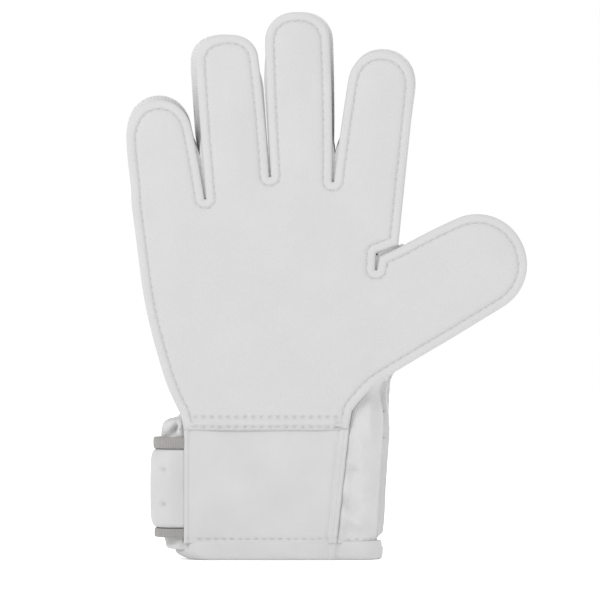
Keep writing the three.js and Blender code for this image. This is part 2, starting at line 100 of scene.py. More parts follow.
SEAM = 4.2  # sheet edge to seam
STITCH_PITCH = 3.9
THREAD = 0.62  # thickness of the sewing thread
RING_DEPTHS = [0.0, 0.4, 1.1, 2.3, 3.3, 3.8, 4.2, 4.65, 5.5, 7.0]
RING_SLACK = 0.12  # rings that come closer together than they should by more than this lose points
GRID = 2.3  # spacing of the mesh inside a sheet
TRIANGLE_HEIGHT = 0.87  # of a triangle with sides of one
CUT_STEP = 1.6  # spacing of points along the lines that divide a sheet
CUT_CLEAR = 0.7  # kept free of other points beside them
FINER = 3  # it is this many times finer beside sewn lines
LINE_REACH = 2.0  # as far as this from them
STEP = 1.5  # spacing of points along an outline
CUT_GAP = 0.6  # corners of divided CAD pieces, and of outlines that meet, are closer than this
SHEET_END = 61.3  # the palm sheet runs down over the cuff's panel to here
WRIST_NARROW = (1.3, -0.6)  # how far its two lower corners draw in
WRIST_LOW = 57.6  # the wrist bends between these heights
WRIST_HIGH = 70.8
NEAR_BELOW = 2.6  # a digit's near bend starts this far below its knuckle
NEAR_SHARE = 0.65  # and takes this share of the way to its middle joint
FAR_SHARE = 0.37  # its far bend takes this share on each side of that joint
SHARP_CORNER = 30  # degrees: an outline's stretches are divided at turns above this
GENTLE_TURN = 0.25  # radians: an inward corner that turns further gets a fan of ring points
FAN_STEP = 0.3  # radians between them
FLANGE_SUNK = 0.3  # the seam allowance lies this much below the sheet
SEAM_DEEP = 0.6
SEAM_WIDE = 0.5
ROW_DEEP = 1.3
ROW_WIDE = 0.6
HEM_FLUSH = 1.0  # the sheets thin by this much at their lower edge, over the cuff
WRIST_ROWS = [SHEET_END + 1.7, SHEET_END + 6.3]  # heights of the two rows of stitches across the wrist
FLEX_PITCH = 4.4  # spacing of the flex lines across the back of a finger
STRETCH_TOP = 93.0  # the elastic thumb-side fabric meets the knitted gusset at this height
LITTLE_STRETCH_TOP = 72.0
WALL_THICK = 0.9
WALL_BULGE = 1.6
SLIT_RISE = 4.5  # at the bottom of a slit the wall comes forward between the sheet's edges
WALL_FOLD = 0.06  # share of the wall's height taken by its seam allowance
SEWN_INTO = 0.45  # the cloth between the sheets is sewn this far into them
FABRIC_THICK = 1.1  # elastic fabric and lining
STITCH_GAP = 0.6  # half the space between two stitches
PATH_STEP = 1.3  # spacing of the points along a straight row of stitches
EDGE_ROUND = 0.45  # how far from an edge its rounding reaches
INNER_ROUND = 0.3  # an inner face's edge is rounded by this share of the outer one's
BLEND_INSET = 0.2  # the ends worked out for a piece's bend lie this far inside it
CLOTH_EDGE = 2.5  # the thumb-side cloth starts this far past the palm's seam
FRONT_LEFT = PANEL_LOW[0] - 0.1  # edge of the cuff's front panel over the strap
# The middle of the slanted band between front panel and thumb side, at two heights.
FRONT_SEAM = ((PANEL_HIGH[0] - 6.2, 11.6), (PANEL_HIGH[0] - 0.5, 64.0))
BAND_HALF = 1.9  # half the band's width
CUFF_FOAM = 3.0  # thickness of the front panel
BACK_FOAM = 2.2  # and of the back panel
HEM_TOP = 9.0
HEM_ROW = 10.1  # height of the row of stitches above the hem
PANEL_END = 8.0  # the cuff's fabrics run down behind the hem to here
# Height above the floor, and how far the hem's rounded little-finger corner draws in there.
HEM_CORNER = ([0, 0.4, 1.1, 2.3, 3.6, 8.8], [7.6, 5.6, 4.0, 1.5, 0.3, 0.2])
HEM_OUT = 1.95  # the hem's face lies this far outside the cuff's fabric
RIDGE = 2.0  # the thumb-side seam's allowance stands out this far
FIN_HALF = 0.6  # half its thickness
FIN_TOP = 87.0  # and it ends at this height
RIDGE_TURN = 0.5  # the ridge lies this share of the way round the thumb side
FABRIC_TURN = 0.58  # and the fabric in front of it ends here
# Folds in the thumb-side gusset: start and end as (distance past the slanted seam, height),
# then width and height.
THUMB_FOLDS = [
    ((1, 50), (14, 42), 2.6, 1.3),
    ((1, 44), (9, 41), 1.8, -1.1),
    ((0, 36), (16, 29), 2.6, 1.4),
    ((0, 31), (12, 20), 1.9, -1.3),
    ((0, 25), (17, 14), 2.8, 1.8),
    ((3, 16), (16, 11), 1.8, -0.9),
    ((4, 66), (10, 48), 2.6, 1.2),
    ((9, 84), (13, 54), 2.2, 1.4),
]
# Height, and how far the little-finger side's fabric draws in there: in its tip below the strap, and
# above the strap.
LITTLE_TIP = ([5.0, 5.3, 5.8, 6.7, 8, 11, 15], [4.7, 3.5, 2.8, 2.4, 2.3, 2.2, 0.4])
LITTLE_SHOULDER = ([62, 64.5, 66, 67.5, 69, 72], [0, 0.6, 2.2, 6.0, 8.6, 9.6])
# How much too large for its seams each side's fabric is, and how far it may move in the simulation.
THUMB_SIDE_LOOSE = (0.035, 1.6)
LITTLE_SIDE_LOOSE = (0.03, 1.2)
STRAP_THICK = 2.8
STRAP_BEND = 15.0  # length of the strap that bends when the flap is opened
DOT_BACK = 7.2  # the pressed dots lie this far round the side from the front panel's edge
DOT_HEIGHTS = [26.5, 42.7]
SIMULATION_SCALE = 10  # the cloth is simulated this many times larger
SIMULATION_FRAMES = 16
# How far the backhand sheet's fingers lie beyond their CAD pieces: to the thumb side, and up,
# and how far from the knuckle this begins.
BACK_SHIFT = {
    "little": (-0.6, 1.4, 14),
    "ring": (-2.9, 0.5, -2),
    "middle": (0.9, 0.2, -4),
    "index": (0.4, 0.2, 24),
    "thumb": (0, 0, 0),
}
TONE = 0.62  # the cloths' lightness
RIB = 0.314  # a wave texture of this scale has its ribs one millimetre apart
LITTLE_ROOT = 179.0  # height at which the little finger's outer side draws in
LITTLE_BOW = 197.5  # and at which it bows out
VIEW_DISTANCE = 2.2  # metres from the palm
VIEW_HEIGHT = 1.0892  # the picture's side, in heights of the glove
VIEW_LEFT = -0.0698  # the middle of the picture, in widths and heights of the glove
VIEW_MIDDLE = 0.4729
SENSOR = 36  # the camera's width, in its own millimetres
LIGHT_TARGET = Vector((0, 0, 0.12))
FLOOR_SIDE = 8


# ---------------------------------------------------------------- materials
def new_material(name):
    made = bpy.data.materials.new(name)
    made.use_nodes = True
    return made, made.node_tree.nodes["Principled BSDF"]


def set_socket(socket, value):
    """Sets a socket to a number, a colour or a vector."""
    socket.default_value = (*value, 1) if socket.type == "RGBA" else value


class Maker:
    """One material, with short ways to add nodes to it."""

    def __init__(self, name):
        self.material, self.shader = new_material(name)
        self.tree = self.material.node_tree
        self.cloth = self.node("Attribute", {}, attribute_name="cloth").outputs["Vector"]

    def fill(self, node, inputs):
        for name, value in inputs.items():
            if isinstance(value, bpy.types.NodeSocket):
                self.tree.links.new(value, node.inputs[name])
            else:
                set_socket(node.inputs[name], value)

    def node(self, kind, inputs, **settings):
        made = self.tree.nodes.new("ShaderNode" + kind)
        for name, value in settings.items():
            setattr(made, name, value)
        self.fill(made, inputs)
        return made

    def noise(self, scale, detail=3.0, rough=0.55):
        inputs = {"Vector": self.cloth, "Scale": scale, "Detail": detail, "Roughness": rough}
        return self.node("TexNoise", inputs).outputs["Fac"]

    def voronoi(self, scale, feature="F1"):
        inputs = {"Vector": self.cloth, "Scale": scale}
        return self.node("TexVoronoi", inputs, feature=feature).outputs["Distance"]

    def wave(self, scale, turn=0, direction="X", distortion=0.0):
        """Ribs across the cloth, turned by some degrees."""
        turned = self.node("Mapping", {"Vector": self.cloth, "Rotation": (0, 0, math.radians(turn))})
        inputs = {"Vector": turned.outputs["Vector"], "Scale": scale, "Distortion": distortion}
        return self.node("TexWave", inputs, bands_direction=direction).outputs["Fac"]

    def math(self, operation, a, b):
        return self.node("Math", {0: a, 1: b}, operation=operation).outputs["Value"]

    def ramp(self, value, *stops):
        """The colour of a value, between two stops: each a value and its colour."""
        node = self.node("ValToRGB", {"Fac": value})
        for element, (position, colour) in zip(node.color_ramp.elements, stops):
            element.position = position
            element.color = (*colour, 1)
        return node.outputs["Color"]

    def mix(self, factor, a, b):
        return self.node("Mix", {"Factor": factor, "A": a, "B": b}, data_type="RGBA").outputs["Result"]

    def with_painted_shade(self, colour, light, warm=0.0):
        """The colour, mixed towards a darker grey as painted shade, by the per-point attribute that
        foam_sheet sets along the groove of its seam.
        """
        painted_shade = self.node("Attribute", {}, attribute_name="painted_shade").outputs["Fac"]
        return self.mix(painted_shade, colour, grey(light, warm))

    def bump(self, height, distance, strength, previous=None):
        inputs = {"Distance": distance * MM, "Strength": strength, "Height": height}
        if previous:
            inputs["Normal"] = previous
        return self.node("Bump", inputs).outputs["Normal"]

    def finish(self, colour, roughness, normal, sheen=0.0):
        inputs = {"Base Color": colour, "Roughness": roughness, "Normal": normal, "Sheen Weight": sheen}
        self.fill(self.shader, {**inputs, "Specular IOR Level": 0.25})
        return self.material


def grey(value, warm=0.0):
    value *= TONE
    return (value * (1 + warm), value, value * (1 - warm))


def latex_foam():
    look = Maker("latex_foam")
    grain = look.noise(1.6, 3, 0.6)
    tone = look.ramp(look.noise(0.035, 4, 0.6), (0.35, grey(0.655)), (0.68, grey(0.69)))
    speckled = look.mix(0.35, tone, look.ramp(grain, (0.3, grey(0.6)), (0.65, grey(0.74))))
    pores = look.bump(look.voronoi(1.5), 0.12, 0.35)
    return look.finish(look.with_painted_shade(speckled, 0.5, 0.012), 0.82, look.bump(grain, 0.18, 0.4, pores), 0.08)


def foam_edge():
    look = Maker("foam_edge")
    cells = look.voronoi(2.6)
    tone = look.ramp(cells, (0.1, grey(0.5, 0.01)), (0.6, grey(0.72)))
    return look.finish(tone, 0.95, look.bump(cells, 0.25, 0.6))


def coated_foam(name, light, pebble):
    look = Maker(name)
    blotches = look.noise(0.05, 3, 0.5)
    tone = look.ramp(blotches, (0.35, grey(light * 0.965)), (0.68, grey(light * 1.02)))
    gloss = look.ramp(look.noise(0.4, 3, 0.5), (0.3, (0.5,) * 3), (0.7, (0.62,) * 3))
    grain = look.voronoi(pebble, "SMOOTH_F1")
    return look.finish(look.with_painted_shade(tone, light * 0.74, 0.012), gloss, look.bump(grain, 0.12, 0.3))


def knit(name, light, pitch, holes):
    """Air mesh: rows of small holes, every other row shifted by half a hole."""
    look = Maker(name)
    across, down, level = (look.wave(RIB / pitch, turn) for turn in (60, -60, 0))
    weave = look.math("MULTIPLY", look.math("ADD", across, down), level)
    tone = look.ramp(weave, (0.05, grey(light * (1 - holes))), (0.6, grey(light)))
    blotches = look.ramp(look.noise(0.06, 2, 0.5), (0.3, grey(light * 0.9)), (0.7, grey(light)))
    soft = look.mix(0.25, tone, blotches)
    return look.finish(look.with_painted_shade(soft, light * 0.7, 0.01), 0.92, look.bump(weave, 0.08, 0.6), 0.15)


def woven(look, rib, thread, share, distortion=0.0):
    """Ribs one way and finer threads the other way."""
    crossing = look.wave(RIB / thread, 0, "Y", distortion)
    return look.math("ADD", look.wave(RIB / rib), look.math("MULTIPLY", crossing, share))


def stretch_fabric():
    look = Maker("stretch_fabric")
    weave = woven(look, 0.9, 0.7, 0.5)
    tone = look.ramp(look.noise(0.05, 3, 0.5), (0.35, grey(0.68)), (0.68, grey(0.73)))
    threads = look.mix(0.18, tone, look.ramp(weave, (0.2, grey(0.56)), (0.9, grey(0.82))))
    return look.finish(look.with_painted_shade(threads, 0.5, 0.01), 0.86, look.bump(weave, 0.16, 0.5), 0.15)


def binding_tape():
    look = Maker("binding_tape")
    weave = woven(look, 0.62, 0.5, 0.6, 1.5)
    tone = look.ramp(weave, (0.2, grey(0.27, 0.03)), (0.95, grey(0.42, 0.03)))
    blotches = look.ramp(look.noise(0.3, 3, 0.6), (0.3, grey(0.3, 0.03)), (0.7, grey(0.42, 0.03)))
    return look.finish(look.mix(0.3, tone, blotches), 0.85, look.bump(weave, 0.2, 0.6), 0.1)


def thread(name, light):
    look = Maker(name)
    twist = look.wave(0.9, 35)
    tone = look.ramp(twist, (0.2, grey(light * 0.82)), (0.8, grey(light)))
    return look.finish(tone, 0.6, look.bump(twist, 0.08, 0.5), 0.2)


def lining_fabric(name, light):
    look = Maker(name)
    loops = look.voronoi(1.1)
    tone = look.ramp(loops, (0.1, grey(light)), (0.8, grey(light * 0.86)))
    return look.finish(tone, 0.95, look.bump(loops, 0.2, 0.5), 0.3)


def pile(name, light):
    """Hook tape or loop tape: short dense pins or loops."""
    look = Maker(name)
    pins = look.voronoi(0.75)
    tone = look.ramp(pins, (0.15, grey(light)), (0.5, grey(light * 0.84)))
    return look.finish(tone, 0.7, look.bump(pins, 0.5, 0.8))


MATERIALS = {
    "palm": latex_foam(),
    "edge": foam_edge(),
    "back": coated_foam("back_coated_foam", 0.70, 0.9),
    "cuff": coated_foam("cuff_coated_foam", 0.665, 1.1),
    "knit": knit("gusset_knit", 0.82, 1.3, 0.08),
    "stretch": stretch_fabric(),
    "tape": binding_tape(),
    "thread": thread("white_thread", 0.72),
    "lining": lining_fabric("lining_fabric", 0.76),
    # Lighter copy of the lining: painted light that offsets the shade falling on the sheets' inner faces
    # where they overlap.
    "backing_painted_light": lining_fabric("foam_backing_painted_light", 0.98),
    "hook": pile("hook_tape", 0.6),
    "loop": pile("loop_tape", 0.68),
}


# ---------------------------------------------------------------- outlines, from the CAD sheets
def boundary_edges(node, side):
    """Directed edges round a CAD sheet's outer face: (x, z) pairs in millimetres."""
    mesh = frame["nodes"][node].data
    points = np.array([v.co[:] for v in mesh.vertices]) / MM
    plane = points[:, 1].min() if side < 0 else points[:, 1].max()
    directed = {}
    for polygon in mesh.polygons:
        if any(abs(points[i][1] - plane) > 0.02 for i in polygon.vertices):
            continue
        ring = [tuple(np.round(points[i][[0, 2]], 2)) for i in polygon.vertices]
        directed.update(dict.fromkeys(zip(ring, ring[1:] + ring[:1])))
    return [(a, b) for a, b in directed if (b, a) not in directed and a != b]


def sheet_outline(nodes, side):
    """The outline of the undivided sheet: the CAD pieces' outlines joined across their cuts."""
    edges = [(node, a, b) for node in nodes for a, b in boundary_edges(node, side)]
    owners = np.array([nodes.index(node) for node, _, _ in edges])
    starts = np.array([a for _, a, _ in edges])

    def neighbours(node, p):
        close = np.hypot(*(starts - np.array(p)).T) < CUT_GAP
        return set(owners[close]) - {nodes.index(node)}

    after = {}
    for node, a, b in edges:
        if not neighbours(node, a) & neighbours(node, b):
            after[a] = b
    first = min(after, key=lambda p: p[0] + p[1])
    path = [first]
    unused = dict(after)
    while True:
        here = unused.pop(path[-1])
        if here in unused:
            path.append(here)
            continue
        left = list(unused) + [first]
        near = min(left, key=lambda p: math.dist(p, here))
        if math.dist(near, here) > CUT_GAP:
            raise ValueError(f"the outline is open at {here}")
        if near == first:
            break
        path[-1:] = [path[-1], tuple((np.array(near) + here) / 2)]
        unused[path[-1]] = unused.pop(near)
    path = np.array(path)
    area = np.sum(path[:, 0] * np.roll(path[:, 1], -1) - np.roll(path[:, 0], -1) * path[:, 1])
    return path if area > 0 else path[::-1]


# ---------------------------------------------------------------- flat geometry
BATCH = 2000  # points measured at a time


def turns(path):
    """The signed turn at each point of a closed path, in degrees."""
    into = path - np.roll(path, 1, 0)
    out = np.roll(path, -1, 0) - path
    cross = into[:, 0] * out[:, 1] - into[:, 1] * out[:, 0]
    return np.degrees(np.arctan2(cross, (into * out).sum(1)))


def rounded(points, count):
    """A smooth curve through open points, sampled at count + 1 even steps."""
    padded = np.vstack([2 * points[0] - points[1], points, 2 * points[-1] - points[-2]])
    t = np.linspace(0, 1, 8, endpoint=False)[:, None]
    dense = []
    for a, b, c, d in zip(padded, padded[1:], padded[2:], padded[3:]):
        square, cube = 2 * a - 5 * b + 4 * c - d, 3 * b - a - 3 * c + d
        dense.append(0.5 * (2 * b + (c - a) * t + square * t**2 + cube * t**3))
    dense = np.vstack(dense + [points[-1:]])
    return even(dense, count)


def lengths(path):
    return np.concatenate([[0], np.cumsum(np.hypot(*np.diff(path, axis=0).T))])


def even(path, count):
    run = lengths(path)
    at = np.linspace(0, run[-1], count + 1)
    return np.stack([np.interp(at, run, path[:, k]) for k in range(path.shape[1])], 1)


def distance_along(points, path, closed=True):
    """For each point, the distance to a path and how far along the path the nearest place is."""
    a = path if closed else path[:-1]
    run = np.roll(path, -1, 0)[: len(a)] - a
    size = np.maximum((run**2).sum(1), 1e-12)
    start = np.concatenate([[0], np.cumsum(np.sqrt(size))])[:-1]
    best = np.empty(len(points))
    where = np.empty(len(points))
    for k in range(0, len(points), BATCH):
        p = points[k : k + BATCH, None]
        share = np.clip(((p - a) * run).sum(2) / size, 0, 1)
        gap = np.hypot(*np.moveaxis(p - a - share[..., None] * run, 2, 0))
        pick = gap.argmin(1)
        rows = np.arange(len(pick))
        best[k : k + BATCH] = gap[rows, pick]
        where[k : k + BATCH] = start[pick] + share[rows, pick] * np.sqrt(size[pick])
    return best, where


def distance_to(points, path, closed=True):
    return distance_along(points, path, closed)[0]


def inside(points, path):
    """Whether each point lies inside a closed path."""
    found = np.zeros(len(points), bool)
    for a, b in zip(path, np.roll(path, -1, 0)):
        if a[1] == b[1]:
            continue
        crosses = (a[1] > points[:, 1]) != (b[1] > points[:, 1])
        x = a[0] + (points[:, 1] - a[1]) * (b[0] - a[0]) / (b[1] - a[1])
        found ^= crosses & (points[:, 0] < x)
    return found


def smoothstep(value, low, high):
    t = np.clip((value - low) / (high - low), 0, 1)
    return t * t * (3 - 2 * t)


def hump(value, middle, width):
    return np.exp(-(((value - middle) / width) ** 2))


def soft_noise(x, z, size, seed):
    """Smooth undulation between about -1 and 1, from a few sine waves."""
    random = np.random.default_rng(seed)
    total = np.zeros_like(np.asarray(x, float))
    for _ in range(6):
        angle = random.uniform(0, 2 * np.pi)
        phase = random.uniform(0, 2 * np.pi)
        scale = random.uniform(0.7, 1.5)
        total = total + np.sin((x * np.cos(angle) + z * np.sin(angle)) * scale * 2 * np.pi / size + phase)
    return total / 3.2


# ---------------------------------------------------------------- digits and segments
class Digit:
    """A finger or the thumb: its directions, and the levels along it where it bends."""

    def __init__(self, name):
        joints = {joint["name"]: joint for joint in frame["joints"]}
        base = joints[f"{name}_curl"]
        tip = joints[f"{name}_tip_curl"]
        self.name = name
        self.side = np.array([base["axis"][0], base["axis"][2]])
        self.up = np.array([-self.side[1], self.side[0]])
        self.base = np.array([base["pos_m"][0], base["pos_m"][2]]) / MM
        self.tip_joint = np.array([tip["pos_m"][0], tip["pos_m"][2]]) / MM
        self.knuckle = self.base @ self.up
        self.middle = self.tip_joint @ self.up
        span = self.middle - self.knuckle
        self.near_start = self.knuckle - NEAR_BELOW
        self.near_end = self.near_start + NEAR_SHARE * span
        self.far_start = self.middle - FAR_SHARE * span
        self.far_end = self.middle + FAR_SHARE * span

    def place(self, level):
        """The point of the digit's middle line at a level."""
        return self.base + (level - self.knuckle) * self.up

    def across(self, points):
        return (points - self.base) @ self.side

    def level(self, points):
        return points @ self.up


digits = {name: Digit(name) for name in DIGITS}

digit_parts = [(d, part) for d in DIGITS for part in ("near", "far")]
palm_nodes = ["palm_panel"] + [f"{d}_palm_{part}" for d, part in digit_parts]
back_nodes = ["backhand_panel"] + [f"{d}_back_{part}" for d, part in digit_parts]


def from_wrist(path):
    """The outline from the wrist's little-finger corner on, with the wrist end moved down over the cuff."""
    start = (path[:, 0] + 2 * path[:, 1]).argmin()
    path = np.roll(path, -start, 0)
    low = path[:2].copy()
    low[:, 1] = SHEET_END
    low[:, 0] += WRIST_NARROW
    return np.vstack([low, path[1:], path[:1]])


def eased(path):
    """The outline with the little finger's outer side bowed out at its middle and drawn in at its root."""
    x, z = path.T
    outer_side = 1 - smoothstep(x, PALM_LOW[0] + 5, PALM_LOW[0] + 9)
    inward = hump(z, LITTLE_ROOT, 6) - 0.95 * hump(z, LITTLE_BOW, 6.5)
    return np.stack([x + outer_side * inward, z], 1)


palm_path = eased(from_wrist(sheet_outline(palm_nodes, -1)))
back_path = eased(from_wrist(sheet_outline(back_nodes, 1)))


def corner_list(path):
    return np.where(np.abs(turns(path)) > SHARP_CORNER)[0]


def between(path, marks):
    """The open stretches of a closed path between marked points."""
    closed = np.vstack([path, path[:1]])
    return [closed[a : b + 1] for a, b in zip(marks, [*marks[1:], len(path)])]


corners = palm_path[corner_list(palm_path)]
(WRIST_LEFT, WRIST_RIGHT, ELBOW_LOW, CROTCH_B, CROTCH_A, ELBOW_HIGH, MOUTH, *FORK_CORNERS) = corners
FORK_HALF = 0.45  # half the width of a slit between fingers at its bottom
FORK_POINTS = [(FORK_CORNERS[i] + FORK_CORNERS[i + 1]) / 2 for i in (4, 2, 0)]


def fork_dividers():
    """Lines up the middle of the slits between fingers, from little and ring to middle and index."""
    lines = []
    parts = between(palm_path, list(corner_list(palm_path)))
    aside = np.array([FORK_HALF, 0])
    for point in FORK_POINTS:
        right = min(parts, key=lambda s: np.abs(s[-1] - point - aside).sum())[::-1]
        left = min(parts, key=lambda s: np.abs(s[0] - point + aside).sum())
        at = np.arange(0, 26, 5.0)
        pair = [np.stack([np.interp(at, lengths(s), s[:, k]) for k in (0, 1)], 1) for s in (left, right)]
        line = (pair[0] + pair[1]) / 2
        far_end = line[-1] + (line[-1] - line[-2]) * 20
        lines.append(np.vstack([line, far_end]))
    return lines


dividers = fork_dividers()
thumb = digits["thumb"]
slit = np.array([(CROTCH_A + CROTCH_B) / 2, (ELBOW_LOW + ELBOW_HIGH) / 2, MOUTH + (0.85, -0.3)])
slit = np.vstack([slit, slit[-1] + 90 * thumb.up])
slit_levels = slit @ thumb.up
slit_across = (slit - thumb.base) @ thumb.side


def digit_of(points):
    """Which digit each point belongs to, as far as it is on one: 0 to 3 for fingers, 4 for the thumb."""
    level = thumb.level(points)
    on_thumb = (level > slit_levels[0]) & (thumb.across(points) > np.interp(level, slit_levels, slit_across))
    x, z = points.T
    finger = sum((x > np.interp(z, line[:, 1], line[:, 0])).astype(int) for line in dividers)
    return np.where(on_thumb, 4, finger)


SEGMENTS = ["wrist", "hand"] + [f"{d}_{part}" for d, part in digit_parts]
SEGMENTS += ["cuff", "strap_bend", "strap_flap"]
PAST_EDGE = 34  # from a digit's middle to well outside it
WRIST_CUT = (-200, WRIST_RIGHT[0] + 60)  # ends of the cut across the wrist


def segment_of(points):
    """The index in SEGMENTS of each point of the flat pattern."""
    found = np.where(points[:, 1] < WRIST_HIGH, 0, 1)
    which = digit_of(points)
    for i, digit in enumerate(digits.values()):
        level = digit.level(points)
        here = which == i
        found[here & (level > digit.near_start)] = 2 + 2 * i
        found[here & (level > digit.far_start)] = 3 + 2 * i
    return found


def cut_lines():
    """The lines that divide a sheet into segments, each a pair of points just outside the sheet."""
    lines = [np.array([[WRIST_CUT[0], WRIST_HIGH], [WRIST_CUT[1], WRIST_HIGH]])]
    for i, digit in enumerate(digits.values()):
        for level in (digit.near_start, digit.far_start):
            centre = digit.place(level)
            ends = []
            for sign in (-1, 1):
                reach = centre + sign * PAST_EDGE * digit.side
                line = None
                if digit is thumb and sign < 0:
                    line = slit
                elif digit is not thumb and 0 <= i - (sign < 0) < len(dividers):
                    line = dividers[i - (sign < 0)]
                if line is not None:
                    levels = digit.level(line)
                    order = levels.argsort()
                    sides = digit.across(line)
                    reach = centre + np.interp(level, levels[order], sides[order]) * digit.side
                ends.append(reach)
            lines.append(np.array(ends))
    return lines


# ---------------------------------------------------------------- rings round both sheets, in step
def shifted_back(path):
    """The backhand outline with its finger ends moved a little further out, as they show beyond the palm."""
    moved = path.copy()
    which = digit_of(path)
    for i, digit in enumerate(digits.values()):
        side, up, start = BACK_SHIFT[digit.name]
        level = digit.level(path) - digit.knuckle
        share = smoothstep(level, start, start + 22) * (which == i)
        moved += share[:, None] * (side * digit.side + up * digit.up)
    return moved


def normals_in(points):
    """Unit normals on the left of an open path, which is the inner side of an anticlockwise outline."""
    run = np.gradient(points, axis=0)
    run /= np.hypot(*run.T)[:, None]
    return np.stack([-run[:, 1], run[:, 0]], 1)


def outline_samples():
    """Points of both outlines in step, each with its inward direction, so that rings at any depth match."""
    wrist = corner_list(palm_path)[1]
    gap = distance_to(palm_path, back_path)
    meeting = wrist + 1 + np.argmax(gap[wrist + 1 :] < CUT_GAP)
    back_meeting = np.hypot(*(back_path - palm_path[meeting]).T).argmin()
    palm_parts = between(palm_path, sorted([*corner_list(palm_path), meeting]))
    back_parts = between(shifted_back(back_path), sorted([*corner_list(back_path), back_meeting]))
    counts = [max(2, round(lengths(part)[-1] / STEP)) for part in palm_parts]
    runs = []
    for parts in (palm_parts, back_parts):
        curves = [rounded(part, count) for part, count in zip(parts, counts)]
        runs.append([(curve, normals_in(curve)) for curve in curves])
    rows = []
    for i, count in enumerate(counts):
        ends = [(run[i][0][0], run[i - 1][1][-1], run[i][1][0]) for run in runs]
        turn = [math.atan2(a[0] * b[1] - a[1] * b[0], a @ b) for _, a, b in ends]
        if turn[0] > -GENTLE_TURN:
            sums = [(a + b) / np.linalg.norm(a + b) for _, a, b in ends]
            middles = [middle / math.cos(t / 2) for middle, t in zip(sums, turn)]
            rows.append((ends[0][0], middles[0], ends[1][0], middles[1], True))
        else:
            fan = math.ceil(-turn[0] / FAN_STEP)
            for k in range(fan + 1):
                row = []
                for (place, a, _), t in zip(ends, turn):
                    angle = math.atan2(a[1], a[0]) + t * k / fan
                    row += [place, np.array([math.cos(angle), math.sin(angle)])]
                rows.append((*row, True))
        for k in range(1, count):
            (palm, palm_normal), (back, back_normal) = (run[i] for run in runs)
            rows.append((palm[k], palm_normal[k], back[k], back_normal[k], False))
    data = np.array([np.concatenate(row[:4]) for row in rows])
    keep = np.array([row[4] for row in rows])
    good = np.ones(len(data), bool)
    for path, inward in (np.hsplit(data[:, :4], 2), np.hsplit(data[:, 4:], 2)):
        for depth in (SEAM, RING_DEPTHS[-1]):
            good &= distance_to(path + depth * inward, path) > depth - RING_SLACK
    return data[keep | good]


samples = outline_samples()
palm_edge, palm_in, back_edge, back_in = np.hsplit(samples, 4)


def round_the_hand(edge, inward):
    """The samples from the wrist's thumb side round the fingers to its little-finger side."""
    first = np.argmax(palm_edge[:, 1] > SHEET_END + 0.3) - 1
    run = np.r_[first : len(edge), 0]
    directions = inward[run].copy()
    directions[0] = directions[1]
    directions[-1] = directions[-2]
    return edge[run], directions


palm_side, palm_side_in = round_the_hand(palm_edge, palm_in)
back_side, back_side_in = round_the_hand(back_edge, back_in)
palm_seam = palm_side + SEAM * palm_side_in
back_seam = back_side + SEAM * back_side_in
palm_outline = (palm_edge, palm_in, palm_seam, palm_side)
back_outline = (back_edge, back_in, back_seam, back_side)


# ---------------------------------------------------------------- making pieces
def attach(piece, segment):
    """Attaches a piece to its segment's body when the segment is rigid: hand, cuff or flap. For a segment
    across a joint it only works out the ends of the bend and bakes the piece's transform; the piece is not
    made to bend.
    """
    if segment in ("hand", "cuff", "strap_flap"):
        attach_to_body(piece, segment)
        return
    if segment == "strap_bend":
        ends = [(FLAP_LOW[0] + reach, FLAP_HIGH[1], FLAP_LOW[2]) for reach in (0, STRAP_BEND)]
    elif segment == "wrist":
        ends = [(0, MIDDLE_Y, z) for z in (WRIST_LOW + BLEND_INSET, WRIST_HIGH - BLEND_INSET)]
    else:
        name, part = segment.rsplit("_", 1)
        digit = digits[name]
        near = part == "near"
        low, high = (digit.near_start, digit.near_end) if near else (digit.far_start, digit.far_end)
        ends = [(x, MIDDLE_Y, z) for x, z in (digit.place(low + BLEND_INSET), digit.place(high))]
    start, end = (tuple(n * MM for n in place) for place in ends)
    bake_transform(piece)
    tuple(start)
    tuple(end)


OUTER, RIM, INNER = range(3)  # a shape's material slots


